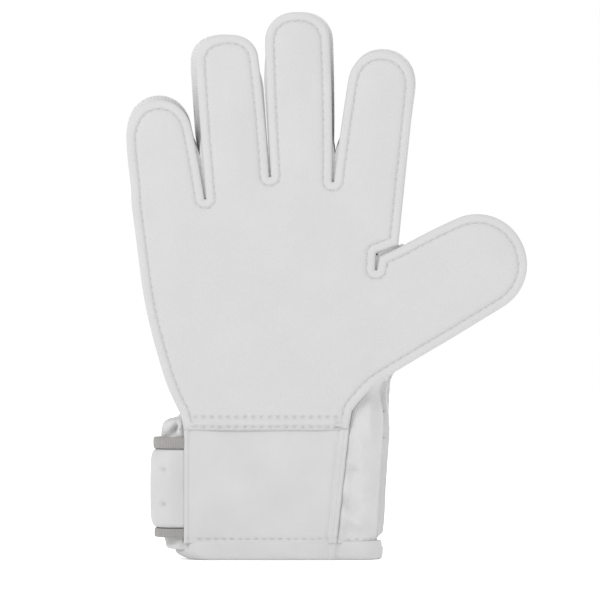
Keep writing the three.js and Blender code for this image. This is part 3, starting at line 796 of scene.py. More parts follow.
class Shape:
    """Vertices and faces of a whole sheet or strip in millimetres, before it is divided into pieces."""

    def __init__(self):
        self.points = []
        self.cloth = []
        self.painted_shade = []
        self.faces = []
        self.slots = []
        self.segments = []
        self.count = 0

    def add(self, points, cloth, painted_shade=0.0):
        start = self.count
        flat = np.zeros((len(points), 3))
        flat[:, : np.shape(cloth)[1]] = cloth
        self.points.append(np.asarray(points, float))
        self.cloth.append(flat)
        self.painted_shade.append(np.broadcast_to(painted_shade, len(points)).astype(float))
        self.count += len(points)
        return start

    def face(self, indices, slot, segment):
        self.faces.append(tuple(int(i) for i in indices))
        self.slots.append(slot)
        self.segments.append(segment)

    def shell(self, faces, segments, top, under, rim_cloth):
        """Adds the outer faces, the inner ones turned over, and the rim that closes their open edges."""
        directed = {}
        for face, segment in zip(faces, segments):
            self.face([top + i for i in face], OUTER, segment)
            self.face([under + i for i in face[::-1]], INNER, segment)
            directed.update(dict.fromkeys(zip(face, face[1:] + face[:1]), segment))
        edges = [(a, b, segment) for (a, b), segment in directed.items() if (b, a) not in directed]
        order = np.unique([edge[:2] for edge in edges])
        points = np.vstack(self.points)
        middle = self.add((points[top + order] + points[under + order]) / 2, rim_cloth[order])
        for a, b, segment in edges:
            ma, mb = middle + np.searchsorted(order, (a, b))
            self.face((top + a, ma, mb, top + b), RIM, segment)
            self.face((ma, under + a, under + b, mb), RIM, segment)

    def pieces(self, name, materials, slot_name, replaced=None, fill=None, held=None):
        """One closed piece per segment, keeping the smooth shading of the whole across the cuts.
        replaced gives the CAD nodes that each segment's piece stands for; fill is not used;
        held, when set, only has the flat cut of the sheet's outer faces measured."""
        points, cloth, painted_shade = (np.concatenate(part) for part in (self.points, self.cloth, self.painted_shade))
        normals = vertex_normals(points, self.faces)
        segments = np.array(self.segments)
        for k in np.unique(segments):
            chosen = np.where(segments == k)[0]
            faces = [self.faces[i] for i in chosen]
            slots = [self.slots[i] for i in chosen]
            caps = open_loops(faces)
            used, numbered = np.unique(np.concatenate(faces), return_inverse=True)
            faces = split_at(numbered, [len(f) for f in faces])
            caps = [np.searchsorted(used, cap).tolist() for cap in caps]
            all_slots = slots + [slots[-1]] * len(caps)
            segment = SEGMENTS[k]
            look = (cloth[used], painted_shade[used], materials, all_slots, normals[used])
            piece = mesh_object(f"{name}_{segment}", points[used], faces + caps, *look)
            attach(piece, segment)
            if held:
                outer = [face for face, slot in zip(faces, slots) if slot == OUTER]
                declare_sheet(cloth[used], outer)
            for node in (replaced or {}).get(segment, []):
                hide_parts(node)


def split_at(values, counts):
    """The values, in groups of the given sizes."""
    ends = np.cumsum(counts)
    return [values[end - count : end].tolist() for end, count in zip(ends, counts)]


def open_loops(faces):
    """The loops of open edges that the faces leave, each turned so that it faces out."""
    directed = {(a, b) for face in faces for a, b in zip(face, face[1:] + face[:1])}
    after = {b: a for a, b in directed if (b, a) not in directed}
    loops = []
    while after:
        loop = [next(iter(after))]
        while loop[-1] in after:
            loop.append(after.pop(loop[-1]))
        if loop[0] == loop[-1] and len(loop) > 3:
            loops.append(loop[:-1])
    return loops


def declare_sheet(cloth, faces):
    """Works out the area, width and length of a cloth's flat cut, where cloth holds each point's place in
    it; nothing is declared or returned.
    """
    corners_of = [cloth[face] for face in faces]
    doubled = [c[:, 0] @ np.roll(c[:, 1], -1) - np.roll(c[:, 0], -1) @ c[:, 1] for c in corners_of]
    area = np.abs(doubled).sum() / 2 * MM * MM
    width, length = np.ptp(np.vstack(corners_of), axis=0)[:2] * MM
    if area < 0.4 * width * length:  # a strip in several stretches
        width = area / length if length < width else width
        length = area / width


def add_object(name, data):
    made = bpy.data.objects.new(name, data)
    bpy.context.scene.collection.objects.link(made)
    return made


def new_mesh(name, points, faces):
    mesh = bpy.data.meshes.new(name)
    mesh.from_pydata(points, [], faces)
    mesh.update()
    return mesh


def mesh_object(name, points, faces, cloth, painted_shade, materials, slots, normals):
    """A smooth mesh with its materials and with the attributes that they read."""
    mesh = new_mesh(name, (points * MM).tolist(), faces)
    for material in materials:
        mesh.materials.append(MATERIALS[material])
    mesh.polygons.foreach_set("material_index", slots)
    mesh.polygons.foreach_set("use_smooth", [True] * len(faces))
    for attribute, kind, key, values in (
        ("cloth", "FLOAT_VECTOR", "vector", cloth),
        ("painted_shade", "FLOAT", "value", painted_shade),
    ):
        data = mesh.attributes.new(attribute, kind, "POINT").data
        data.foreach_set(key, values.astype(np.float32).ravel())
    mesh.update()
    mesh.normals_split_custom_set_from_vertices(normals)
    return add_object(name, mesh)


def vertex_normals(points, faces):
    mesh = new_mesh("measure", points.tolist(), faces)
    found = np.empty(len(points) * 3)
    mesh.vertex_normals.foreach_get("vector", found)
    bpy.data.meshes.remove(mesh)
    return found.reshape(-1, 3)


def grid_cells(across, up):
    """The cells of a grid of points, each by the numbers of its four corners."""
    index = np.arange(across * up).reshape(across, up)
    corners_of = [index[:-1, :-1], index[1:, :-1], index[1:, 1:], index[:-1, 1:]]
    return np.stack(corners_of, -1).reshape(-1, 4)


def grid_shell(outer, inner, cloth, segment_at):
    """A closed shell from two matching grids of points, the outer and the inner face."""
    shape = Shape()
    flat = cloth.reshape(-1, 2)
    top, under = (shape.add(grid.reshape(-1, 3), flat) for grid in (outer, inner))
    quads = grid_cells(*outer.shape[:2])
    centres = outer.reshape(-1, 3)[quads].mean(1)
    shape.shell(quads.tolist(), segment_at(centres), top, under, flat)
    return shape


def stitch_pull(along):
    """How deep a seam is pulled in, deepest at the needle holes."""
    return 0.72 + 0.28 * np.cos(2 * np.pi * along / STITCH_PITCH)


def row_pull(along):
    """The same for the rows across the wrist, which pucker between their needle holes."""
    return 0.3 + 0.7 * (0.5 + 0.5 * np.cos(2 * np.pi * along / STITCH_PITCH)) ** 2


def sheet_lift(z):
    """How far the sheets stand out over the cuff that they are sewn to."""
    return 1.5 * (1 - smoothstep(z, SHEET_END + 1, SHEET_END + 22))


# ---------------------------------------------------------------- the two foam sheets
def sewn_lines(flat, side_gap, on_back):
    """Lines sewn across a sheet: the distance of each point from them, and how strong they are there."""
    lines = [(flat[:, 1] - row, smoothstep(side_gap, SEAM - 0.4, SEAM + 0.4)) for row in WRIST_ROWS]
    if not on_back:
        return lines
    which = digit_of(flat)
    for i, digit in enumerate(digits.values()):
        on_digit = (which == i) * smoothstep(side_gap, SEAM + 1.5, SEAM + 3.5)
        for joint in (digit.knuckle + 5, digit.middle):
            for k in (-1, 0, 1):
                lines.append((digit.level(flat) - joint - FLEX_PITCH * k, on_digit))
    return lines


def mesh_points(edge, inward, sides, on_back):
    """Points of a sheet's mesh, finer beside its sewn lines, and the edges to keep: rings and cuts."""
    count = len(edge)
    rings = np.vstack([edge + depth * inward for depth in RING_DEPTHS])
    step = GRID / FINER
    row = step * TRIANGLE_HEIGHT
    low, high = edge.min(0), edge.max(0)
    columns, rows = (np.arange(math.ceil(size)) for size in (high - low) / (step, row))
    i, j = (part.ravel() for part in np.meshgrid(columns, rows, indexing="ij"))
    grid = np.stack([low[0] + (i + j % 2 / 2) * step, low[1] + j * row], 1)
    coarse = (j % FINER == 0) & (i % FINER == j // FINER % 2)
    within = inside(grid, edge)
    grid, coarse = grid[within], coarse[within]
    held = RING_DEPTHS.index(SEAM) + 2
    points = np.vstack([rings[held * count :], grid])
    on_ring = np.arange(len(points)) < len(points) - len(grid)
    side_gap = distance_to(points, sides, closed=False)
    gap = distance_to(points, edge)
    near = np.zeros(len(points), bool)
    for away, strength in sewn_lines(points, side_gap, on_back):
        near |= (np.abs(away) < LINE_REACH) & (strength > 0)
    fine = near & (gap > np.where(side_gap > SEAM + 1, 0.7, RING_DEPTHS[held] - 0.4)) & ~on_ring
    wide = ~near & (gap > RING_DEPTHS[-1] + GRID * 0.6) & ~on_ring
    wide[~on_ring] &= coarse
    keep = fine | wide | (on_ring & ~near)
    edges = [(r * count + k, r * count + (k + 1) % count) for r in range(held) for k in range(count)]
    cuts = []
    for a, b in cut_lines():
        line = even(np.array([a, b]), round(math.dist(a, b) / CUT_STEP))
        clear = distance_to(points, line, closed=False)
        keep &= clear > CUT_CLEAR
        cuts.append(line)
    points = [*rings[: held * count], *points[keep]]
    for line in cuts:
        gap = distance_to(line, edge)
        line = np.vstack([line[:1], line[1:-1][gap[1:-1] > RING_DEPTHS[held]], line[-1:]])
        edges += [(len(points) + k, len(points) + k + 1) for k in range(len(line) - 1)]
        points += [*line]
    return points, edges


def triangulated(points, edges, outline):
    """Triangles inside an outline, all turned the same way, and the points that they use."""
    made = delaunay_2d_cdt([Vector(p) for p in points], edges, [], 0, 1e-4, False)
    flat = np.array([v[:] for v in made[0]])
    triangles = np.array(made[2])
    triangles = triangles[inside(flat[triangles].mean(1), outline)]
    used, numbered = np.unique(triangles, return_inverse=True)
    flat, triangles = flat[used], numbered.reshape(-1, 3)
    a, b, c = (flat[triangles[:, k]] for k in range(3))
    clockwise = (b - a)[:, 0] * (c - a)[:, 1] - (b - a)[:, 1] * (c - a)[:, 0] < 0
    triangles[clockwise] = triangles[clockwise][:, ::-1]
    return flat, triangles


def foam_sheet(edge, inward, seam, sides, face_y, sign, thick, height):
    """A foam sheet with a compressed seam allowance, a rounded raw edge and a flat inner face."""
    flat, triangles = triangulated(*mesh_points(edge, inward, sides, sign > 0), edge)
    triangles = triangles[:, ::-sign]
    gap, along = distance_along(flat, edge)
    side_gap = distance_to(flat, sides, closed=False)
    seam_gap, seam_along = distance_along(flat, seam, closed=False)
    lift = sheet_lift(flat[:, 1])
    sewn = SEAM_DEEP * stitch_pull(seam_along) * hump(seam_gap, 0, SEAM_WIDE)
    for away, strength in sewn_lines(flat, side_gap, sign > 0):
        sewn += ROW_DEEP * strength * hump(away, 0, ROW_WIDE) * row_pull(flat[:, 0])
    over_cuff = 1 - smoothstep(flat[:, 1], SHEET_END, SHEET_END + 1.6)
    outer = height(flat, side_gap) - FLANGE_SUNK - sewn + lift - (1 - 0.6 * over_cuff) * np.exp(-gap / 0.5)
    outer -= HEM_FLUSH * over_cuff
    inner_y = face_y - sign * (thick - 0.5 * (1 - smoothstep(side_gap, SEAM - 1, SEAM + 2)) - lift)
    shape = Shape()
    # Painted shade: darker in the seam's groove, and a little darker inside the seam than on the flange.
    painted_shade = 0.3 * hump(seam_gap, 0, 0.45) + 0.05 * smoothstep(side_gap, SEAM, SEAM + 1.5)
    top = shape.add(np.stack([flat[:, 0], face_y + sign * outer, flat[:, 1]], 1), flat, painted_shade)
    under = shape.add(np.stack([flat[:, 0], inner_y, flat[:, 1]], 1), flat)
    segments = segment_of(flat[triangles].mean(1))
    shape.shell(triangles.tolist(), segments, top, under, np.stack([along, inner_y], 1))
    return shape


def palm_height(flat, side_gap):
    x, z = flat.T
    crown = 0.25 * smoothstep(side_gap, SEAM, SEAM + 3) + 0.6 * smoothstep(side_gap, SEAM, 17)
    puff = 0.5 * hump(z, np.mean(WRIST_ROWS), 2.2) * smoothstep(side_gap, SEAM, SEAM + 3)
    return crown + puff + 0.14 * soft_noise(x, z, 60, 3) * smoothstep(side_gap, SEAM, 12)


def back_height(flat, side_gap):
    x, z = flat.T
    crown = 0.3 * smoothstep(side_gap, SEAM, SEAM + 4) + 0.5 * smoothstep(side_gap, SEAM, 13)
    return crown + 0.12 * soft_noise(x, z, 50, 8)


def make_sheets():
    for name, surface, panel, node, outline, face, sign, thick, height in (
        ("palm", "palm", "palm_panel", "palm", palm_outline, PALM_FACE, -1, PALM_THICK, palm_height),
        ("backhand", "back", "backhand_panel", "back", back_outline, BACK_FACE, 1, BACK_THICK, back_height),
    ):
        shape = foam_sheet(*outline, face, sign, thick, height)
        replaced = {f"{d}_{part}": [f"{d}_{node}_{part}"] for d, part in digit_parts}
        replaced["hand"] = [panel]
        # The inner faces take the lightened backing, painted light against the shade between the sheets.
        shape.pieces(name, [surface, "edge", "backing_painted_light"], f"{node}_foam", replaced, 0.7)


# ---------------------------------------------------------------- gusset walls between the sheets
def behind_palm(z):
    """Y of the cloth where it is sewn to the palm sheet's inner face."""
    return PALM_FACE + PALM_THICK - SEWN_INTO - sheet_lift(z)


def behind_back(z):
    """Y of the cloth where it is sewn to the backhand sheet's inner face."""
    return BACK_FACE - BACK_THICK + SEWN_INTO + sheet_lift(z)


def wall_bulges():
    """How far the wall stands outside the seam at each sample, and how squarely it does.
    Near a slit's bottom it reaches the middle of the slit, right behind the sheets."""
    on_thumb = digit_of(palm_side) == 4
    bulge = np.where(on_thumb, 0.5 * WALL_BULGE, WALL_BULGE)
    squareness = np.zeros(len(palm_side))
    for line, closed_to, open_from in [(line, 1.1, 2.6) for line in dividers] + [(slit[:3], 2.0, 3.0)]:
        half_gap = distance_to(palm_side, line, closed=False)
        near = 1 - smoothstep(half_gap, closed_to, open_from)
        bulge += near * (SEAM + half_gap - 0.1 - bulge)
        squareness = np.maximum(squareness, near)
    return bulge, squareness


def make_walls():
    """One fabric strip round the whole hand, sewn between the palm sheet and the backhand sheet."""
    first = np.argmax(palm_side[:, 1] > STRETCH_TOP - 5)
    last = len(palm_side) - 1 - np.argmax(palm_side[::-1, 1] > LITTLE_STRETCH_TOP - 2)
    run = np.arange(first, last + 1)
    front_y = behind_palm(palm_side[run, 1])
    back_y = behind_back(back_side[run, 1])
    bulge, squareness = (part[run] for part in wall_bulges())
    flange = SEAM - 0.5
    round_shares = np.linspace(0.9, 0.1, 7)
    arch = np.sin(math.pi * round_shares)[:, None] ** (0.7 - 0.7 * squareness)
    outer_share = np.array([1 - WALL_FOLD, 1 - WALL_FOLD, *round_shares, WALL_FOLD, WALL_FOLD])
    inner_share = np.array([1, 1, *round_shares, 0, 0])
    forward = np.array([0, 0, *np.clip(1 - round_shares / 0.3, 0, 1), 0, 0])
    grids = []
    for share, rise, ends in ((outer_share, 0.15, (flange, 0.9)), (inner_share, -WALL_THICK, (flange, 0.0))):
        columns = [np.full(len(run), end) for end in ends]
        columns += [bulge * a + rise for a in arch]
        columns += columns[1::-1]
        out = np.stack(columns, 1)[..., None]
        palm = palm_side[run, None] + (SEAM - out) * palm_side_in[run, None]
        back = back_side[run, None] + (SEAM - out) * back_side_in[run, None]
        flat = palm + share[:, None] * (back - palm)
        y = front_y[:, None] + share * (back_y - front_y)[:, None]
        y -= SLIT_RISE * squareness[:, None] * forward
        grids.append(np.stack([flat[..., 0], y, flat[..., 1]], -1))
    middles = (palm_side[run][1:] + palm_side[run][:-1]) / 2 + 1.5 * palm_side_in[run][1:]
    segments = np.repeat(segment_of(middles), len(outer_share) - 1)
    steps = np.linalg.norm(np.diff(grids[0], axis=1), axis=2).mean(0)
    across = np.concatenate([[0], np.cumsum(steps)])
    cloth = np.stack(np.broadcast_arrays(lengths(palm_seam[run])[:, None], across), -1)
    forks = [f"{a}_{b}_fork_gusset" for a, b in zip(FINGERS, FINGERS[1:])]
    replaced = {"hand": ["little_side_gusset", "thumb_crotch_gusset", *forks]}
    for d in DIGITS:
        replaced[f"{d}_near"] = [f"{d}_gusset_near_a", f"{d}_gusset_near_b"]
        replaced[f"{d}_far"] = [f"{d}_gusset_far"]
    shape = grid_shell(*grids, cloth, lambda centres: segments)
    shape.pieces("gusset", ["knit"] * 3, "gusset_knit", replaced, held="stretched")


# ---------------------------------------------------------------- sewing thread
def stitches(name, path, outward, segment_at, sink=0.55):
    """A run of stitches along a path in space, each one dipping into the fabric at both ends.
    outward points out of the fabric: one direction, or one for each point of the path."""
    outward = np.broadcast_to(outward, path.shape)
    run = np.concatenate([[0], np.cumsum(np.linalg.norm(np.diff(path, axis=0), axis=1))])
    count = int(run[-1] // STITCH_PITCH)
    if not count:
        return
    station = np.linspace(0, 1, 5)
    at = np.arange(count)[:, None] * STITCH_PITCH + STITCH_GAP + station * (STITCH_PITCH - 2 * STITCH_GAP)
    centre = np.stack([np.interp(at, run, path[:, k]) for k in range(3)], 2)
    normal = np.stack([np.interp(at, run, outward[:, k]) for k in range(3)], 2)
    normal /= np.linalg.norm(normal, axis=2)[..., None]
    tangent = (centre[:, -1] - centre[:, 0])[:, None]
    tangent = tangent / np.linalg.norm(tangent, axis=2)[..., None]
    side = np.cross(tangent, normal)
    arch = np.sin(np.pi * station)
    centre = centre + normal * (arch * sink - sink)[:, None]
    radius = THREAD / 2 * (0.55 + 0.45 * arch)
    angle = np.arange(6) * np.pi / 3
    ring = np.cos(angle)[:, None] * normal[:, :, None] + np.sin(angle)[:, None] * side[:, :, None]
    points = centre[:, :, None] + radius[:, None, None] * ring
    cloth = np.stack(np.broadcast_arrays(at[:, :, None], angle * THREAD / 2), 3)
    shape = Shape()
    segments = segment_at(centre[:, 2])
    for k in range(count):
        start = shape.add(points[k].reshape(-1, 3), cloth[k].reshape(-1, 2))
        for i in range(4):
            for j in range(6):
                a, b = start + 6 * i + j, start + 6 * i + (j + 1) % 6
                shape.face((a, b, b + 6, a + 6), OUTER, segments[k])
        shape.face([start + j for j in range(6)][::-1], OUTER, segments[k])
        shape.face([start + 24 + j for j in range(6)], OUTER, segments[k])
    shape.pieces(name, ["thread"], "gusset_knit")


def flat_segment(points):
    return segment_of(points[:, [0, 2]])


def needle_run(low, high):
    """Points along a straight row, from its first whole stitch on."""
    return np.arange(math.ceil(low / STITCH_PITCH) * STITCH_PITCH, high, PATH_STEP)


def make_sheet_stitches():
    back_right = back_edge[:, 0][palm_edge[:, 1] < SHEET_END + 1].max()
    for name, seam, face, sign, right in (
        ("palm_seam", palm_seam, PALM_FACE, -1, WRIST_RIGHT[0]),
        ("backhand_seam", back_seam, BACK_FACE, 1, back_right),
    ):
        y = face + sign * (sheet_lift(seam[:, 1]) - FLANGE_SUNK - 0.2)
        stitches(name, np.stack([seam[:, 0], y, seam[:, 1]], 1), (0.0, sign, 0.0), flat_segment)
        for k, row in enumerate(WRIST_ROWS):
            x = needle_run(WRIST_LEFT[0] + 3, right - 4)
            z = np.full(len(x), row)
            path = np.stack([x, face + sign * (sheet_lift(z) - 0.55), z], 1)
            stitches(f"{name}_row_{k}", path, (0.0, sign, 0.0), flat_segment)


# ---------------------------------------------------------------- the cuff's round surface
CUFF_DEPTH = (BAND_HIGH[1] - BAND_LOW[1]) / 2
CUFF_MIDDLE = (BAND_HIGH[1] + BAND_LOW[1]) / 2
CUFF_LEFT = BAND_LOW[0]
LEFT_TURN = CUFF_LEFT + CUFF_DEPTH
CUFF_LEAN = (BAND_HIGH[0] - SIDE_HIGH[0]) / (BAND_HIGH[2] - SIDE_HIGH[2])
HALF_ROUND = math.pi * CUFF_DEPTH


def cuff_right(z):
    return SIDE_HIGH[0] + CUFF_LEAN * (z - SIDE_HIGH[2]) - RIDGE


def right_turn(z):
    return cuff_right(z) - CUFF_DEPTH


def on_cuff(q, z, out):
    """The place at q round the cuff, counted as X along its front, at height z, this far outside."""
    q, z, out = np.broadcast_arrays(np.asarray(q, float), np.asarray(z, float), np.asarray(out, float))
    right = right_turn(z)
    past_right = np.clip(q - right, 0, HALF_ROUND)
    past_left = np.clip(LEFT_TURN - q, 0, HALF_ROUND)
    angle = (past_right - past_left) / CUFF_DEPTH
    back_right = np.maximum(q - right - HALF_ROUND, 0)
    back_left = np.maximum(LEFT_TURN - HALF_ROUND - q, 0)
    x = np.clip(q, LEFT_TURN, right) + np.sin(angle) * (CUFF_DEPTH + out) - back_right + back_left
    y = CUFF_MIDDLE - np.cos(angle) * (CUFF_DEPTH + out)
    return np.stack([x, y, z], -1)


def cuff_normal(q, z):
    found = on_cuff(q, z, 1.0) - on_cuff(q, z, 0.0)
    return found / np.linalg.norm(found, axis=-1)[..., None]


def back_from_left(x):
    """The place round the cuff of a point on its back, reached past its little-finger side."""
    return LEFT_TURN - HALF_ROUND - (x - LEFT_TURN)


def back_from_right(x, z):
    """The place round the cuff of a point on its back, reached past its thumb side."""
    return right_turn(z) + HALF_ROUND + (right_turn(z) - x)


def past_right_turn(x, z):
    """How far past the right turn a point is, on the rounded back, at X."""
    reach = np.clip((x - right_turn(z)) / CUFF_DEPTH, -1, 1)
    return (math.pi - np.arcsin(reach)) * CUFF_DEPTH


def thumb_side_end(z):
    """Where the thumb-side fabric ends: past the cuff's ridge, and further round the back above it."""
    share = smoothstep(z, SHEET_END - 6, SHEET_END)
    around = (1 - share) * FABRIC_TURN * HALF_ROUND + share * past_right_turn(back_seam[0][0], z)
    return right_turn(z) + around


def spaced(low, high, step):
    """Values from low to high, closer together at both ends so that an edge can be rounded."""
    ends = np.array([0, 0.3, 0.8, 1.6])
    count = max(2, round((high - low - 2 * ends[-1]) / step))
    middle = np.linspace(low + ends[-1], high - ends[-1], count + 1)
    return np.concatenate([low + ends[:-1], middle, high - ends[:-1][::-1]])


def edge_fall(values, low=1.0, high=1.0):
    """A rounded edge's fall at each of the values, with its size at the low end and at the high end."""
    at_low, at_high = (np.exp(-gap / EDGE_ROUND) for gap in (values - values[0], values[-1] - values))
    return np.maximum(low * at_low, high * at_high)


def cuff_segment(points):
    """The segment of each point of a cuff piece, by its height."""
    return np.where(points[:, 2] > WRIST_HIGH, SEGMENTS.index("hand"), below_hand(points))


def row_segments(rows):
    """Segments of a grid's cells, the same all along each row."""

    def found(centres):
        level = centres.reshape(-1, rows - 1, 3).mean(0)
        return np.tile(cuff_segment(level), len(centres) // (rows - 1))

    return found


def below_hand(points):
    """The segment of each point of a piece that ends just above the wrist."""
    return np.where(points[:, 2] < WRIST_LOW, SEGMENTS.index("cuff"), SEGMENTS.index("wrist"))


def only(segment):
    return lambda points: np.full(len(points), SEGMENTS.index(segment))


def cuff_patch(across, up, out, thick, segment_at=cuff_segment, place=None, falls=(1, 1, 1, 1)):
    """A padded patch on the cuff. place turns its grid into q and z; out(q, z) is its outer face's height.
    falls are the rounding of its left, right, lower and upper edges."""
    a, b = np.meshgrid(across, up, indexing="ij")
    q, z = place(a, b) if place else (a, b)
    drop = np.maximum(edge_fall(across, *falls[:2])[:, None], edge_fall(up, *falls[2:])[None, :])
    height = out(q, z)
    outer = on_cuff(q, z, height - drop)
    inner = on_cuff(q, z, height - thick + INNER_ROUND * drop)
    return grid_shell(outer, inner, np.stack([q, z], -1), segment_at)


# ---------------------------------------------------------------- the cuff's panels
def seam_x(z):
    """The slanted seam between the front panel and the thumb-side gusset: the middle of its raised band."""
    low, high = FRONT_SEAM
    return low[0] + (high[0] - low[0]) * (z - low[1]) / (high[1] - low[1])


def under_sheet(z):
    """How deep the panels dive under the lower edge of the palm sheet and the backhand sheet."""
    return smoothstep(z, SHEET_END + 0.2, SHEET_END + 1.8)


def front_out(q, z):
    from_left = q - FRONT_LEFT
    band = q - seam_x(z)
    height = 1.6 + 0.2 * soft_noise(q, z, 45, 5) + 0.2 * smoothstep(from_left, 4, 14)
    height += 0.3 * (1 - smoothstep(from_left, 1.6, 2.8)) - 0.4 * hump(from_left, 2.5, 0.8)
    height += 0.75 * (hump(band, -1.05, 0.8) + hump(band, 1.05, 0.8)) - 0.35 * hump(band, -2.8, 0.8)
    height -= 0.6 * hump(z, HEM_ROW, ROW_WIDE) * row_pull(q)
    return height - 2.4 * under_sheet(z)


def make_front_panel():
    length = seam_x(35) + BAND_HALF - FRONT_LEFT
    band = length - BAND_HALF + np.arange(-3.4, 1.6, 0.45)
    across = spaced(0, length, 1.5)
    across = across[(across < band[0] - 0.3) | (across > band[-1] + 0.1)]
    across = np.sort(np.concatenate([across, band, [1.9, 2.5, 3.1]]))
    across = across[np.concatenate([[True], np.diff(across) > 0.12])]
    up = spaced(PANEL_END, SHEET_END + 4, 1.6)
    extra = [HEM_ROW - 0.1, HEM_ROW + 0.3, SHEET_END - 0.4, SHEET_END + 0.3, SHEET_END + 0.9]
    up = np.sort(np.concatenate([up, extra]))

    def place(a, z):
        return FRONT_LEFT + a / length * (seam_x(z) + BAND_HALF - FRONT_LEFT), z

    patch = cuff_patch(across, up, front_out, CUFF_FOAM, place=place, falls=(0.7, 0.6, 0.35, 1))
    patch.pieces("cuff_front", ["cuff", "edge", "lining"], "cuff_foam", {"cuff": ["cuff_front_panel"]}, 0.6)


def back_out(q, z):
    height = 0.9 + 0.2 * soft_noise(q, z, 50, 6) - 0.45 * hump(z, HEM_ROW, ROW_WIDE) * stitch_pull(q)
    return height - 1.6 * under_sheet(z)


def make_back_panel():
    length = back_from_right(FRONT_LEFT + 1.5, 35) - thumb_side_end(35)

    def place(a, z):
        start = thumb_side_end(z) - 0.7
        return start + a / length * (back_from_right(FRONT_LEFT + 1.5, z) - start), z

    up = spaced(PANEL_END, SHEET_END + 4, 2.0)
    across = spaced(0, length, 2.2)
    patch = cuff_patch(across, up, back_out, BACK_FOAM, place=place, falls=(0.8, 0.8, 0.35, 1))
    patch.pieces("cuff_back", ["cuff", "edge", "lining"], "cuff_foam", {"cuff": ["cuff_back_panel"]}, 0.5)


def crumpled(grid, spread, most):
    """A grid of cloth after a short simulation in the seams that hold it. It is a little too large for
    them, by the share spread, and it moves by no more than most."""
    across, up = grid.shape[:2]
    points = grid.reshape(-1, 3)
    large = (points * MM * SIMULATION_SCALE).tolist()
    mesh = new_mesh("cloth", large, grid_cells(across, up).tolist())
    cloth_object = add_object("cloth", mesh)
    group = cloth_object.vertex_groups.new(name="held")
    index = np.arange(across * up).reshape(across, up)
    border = np.concatenate([index[:2].ravel(), index[-2:].ravel(), index[:, 0], index[:, -1]])
    group.add(np.unique(border).tolist(), 1.0, "REPLACE")
    modifier = cloth_object.modifiers.new("cloth", "CLOTH")
    settings = modifier.settings
    settings.vertex_group_mass = "held"
    settings.effector_weights.gravity = 0
    settings.shrink_min = -spread
    settings.tension_stiffness = 8
    settings.compression_stiffness = 8
    settings.bending_stiffness = 0.6
    settings.quality = 6
    modifier.point_cache.frame_start = 1
    modifier.point_cache.frame_end = SIMULATION_FRAMES
    scene = bpy.context.scene
    for step in range(1, SIMULATION_FRAMES + 1):
        scene.frame_set(step)
    shown = cloth_object.evaluated_get(bpy.context.evaluated_depsgraph_get()).data
    found = np.empty(len(points) * 3)
    shown.vertices.foreach_get("co", found)
    moved = found.reshape(-1, 3) / MM / SIMULATION_SCALE - points
    size = np.linalg.norm(moved, axis=1)
    moved *= np.minimum(1, most / np.maximum(size, 1e-6))[:, None]
    bpy.data.objects.remove(cloth_object)
    bpy.data.meshes.remove(mesh)
    scene.frame_set(1)
    return (points + moved).reshape(across, up, 3)


def grid_normals(grid):
    normal = np.cross(np.gradient(grid, axis=0), np.gradient(grid, axis=1))
    return normal / np.maximum(np.linalg.norm(normal, axis=2), 1e-9)[..., None]


def cut_pattern(grid):
    """Places of a grid's points on the flat cloth, by their distances along its rows and up its columns."""
    across, up = (np.linalg.norm(np.diff(grid, axis=axis), axis=2) for axis in (0, 1))
    across = np.vstack([np.zeros(grid.shape[1]), np.cumsum(across, axis=0)])
    up = np.concatenate([[0], np.cumsum(up.mean(0))])
    return np.stack(np.broadcast_arrays(across, up), -1)


def fold(q, z, start, end, width, height):
    """A soft fold between two places (q, z), round in section and tapering at both ends."""
    start, end = np.array(start, float), np.array(end, float)
    run = end - start
    size = np.linalg.norm(run)
    along = ((q - start[0]) * run[0] + (z - start[1]) * run[1]) / size
    aside = ((q - start[0]) * run[1] - (z - start[1]) * run[0]) / size
    ends = smoothstep(along, 0, size * 0.35) * (1 - smoothstep(along, size * 0.65, size))
    return height * hump(aside, 0, width) * ends


def thumb_side_out(q, z):
    """The elastic gusset's own creases, and the ridge of the seam along its side."""
    height = 0.3 * soft_noise(q, z, 26, 11)
    for start, end, width, size in THUMB_FOLDS:
        height = height + fold(q - seam_x(z), z, start, end, width, size)
    ridge_at = right_turn(z) + RIDGE_TURN * HALF_ROUND
    fin = (RIDGE + 0.7) * (1 - smoothstep(np.abs(q - ridge_at), FIN_HALF, FIN_HALF + 0.5))
    fin = fin - 0.5 * hump(q, ridge_at - 2.4, 0.8)
    return height + fin * smoothstep(z, 9.8, 13) * (1 - smoothstep(z, FIN_TOP - 4, FIN_TOP))


def fabric_shares(start, end, z):
    """Shares of the way across the thumb-side fabric, with both faces of the ridge among them."""
    ridge_at = np.clip(right_turn(z) + RIDGE_TURN * HALF_ROUND, start + 0.4 * (end - start), end - 2.5)
    fin = ridge_at + np.array([-1, 1]) * FIN_HALF
    before = np.linspace(start, fin[0] - 0.5, 30)
    after = np.linspace(fin[1] + 0.5, end, 9)
    return np.clip((np.concatenate([before, fin, after]) - start) / (end - start), 0, 1)


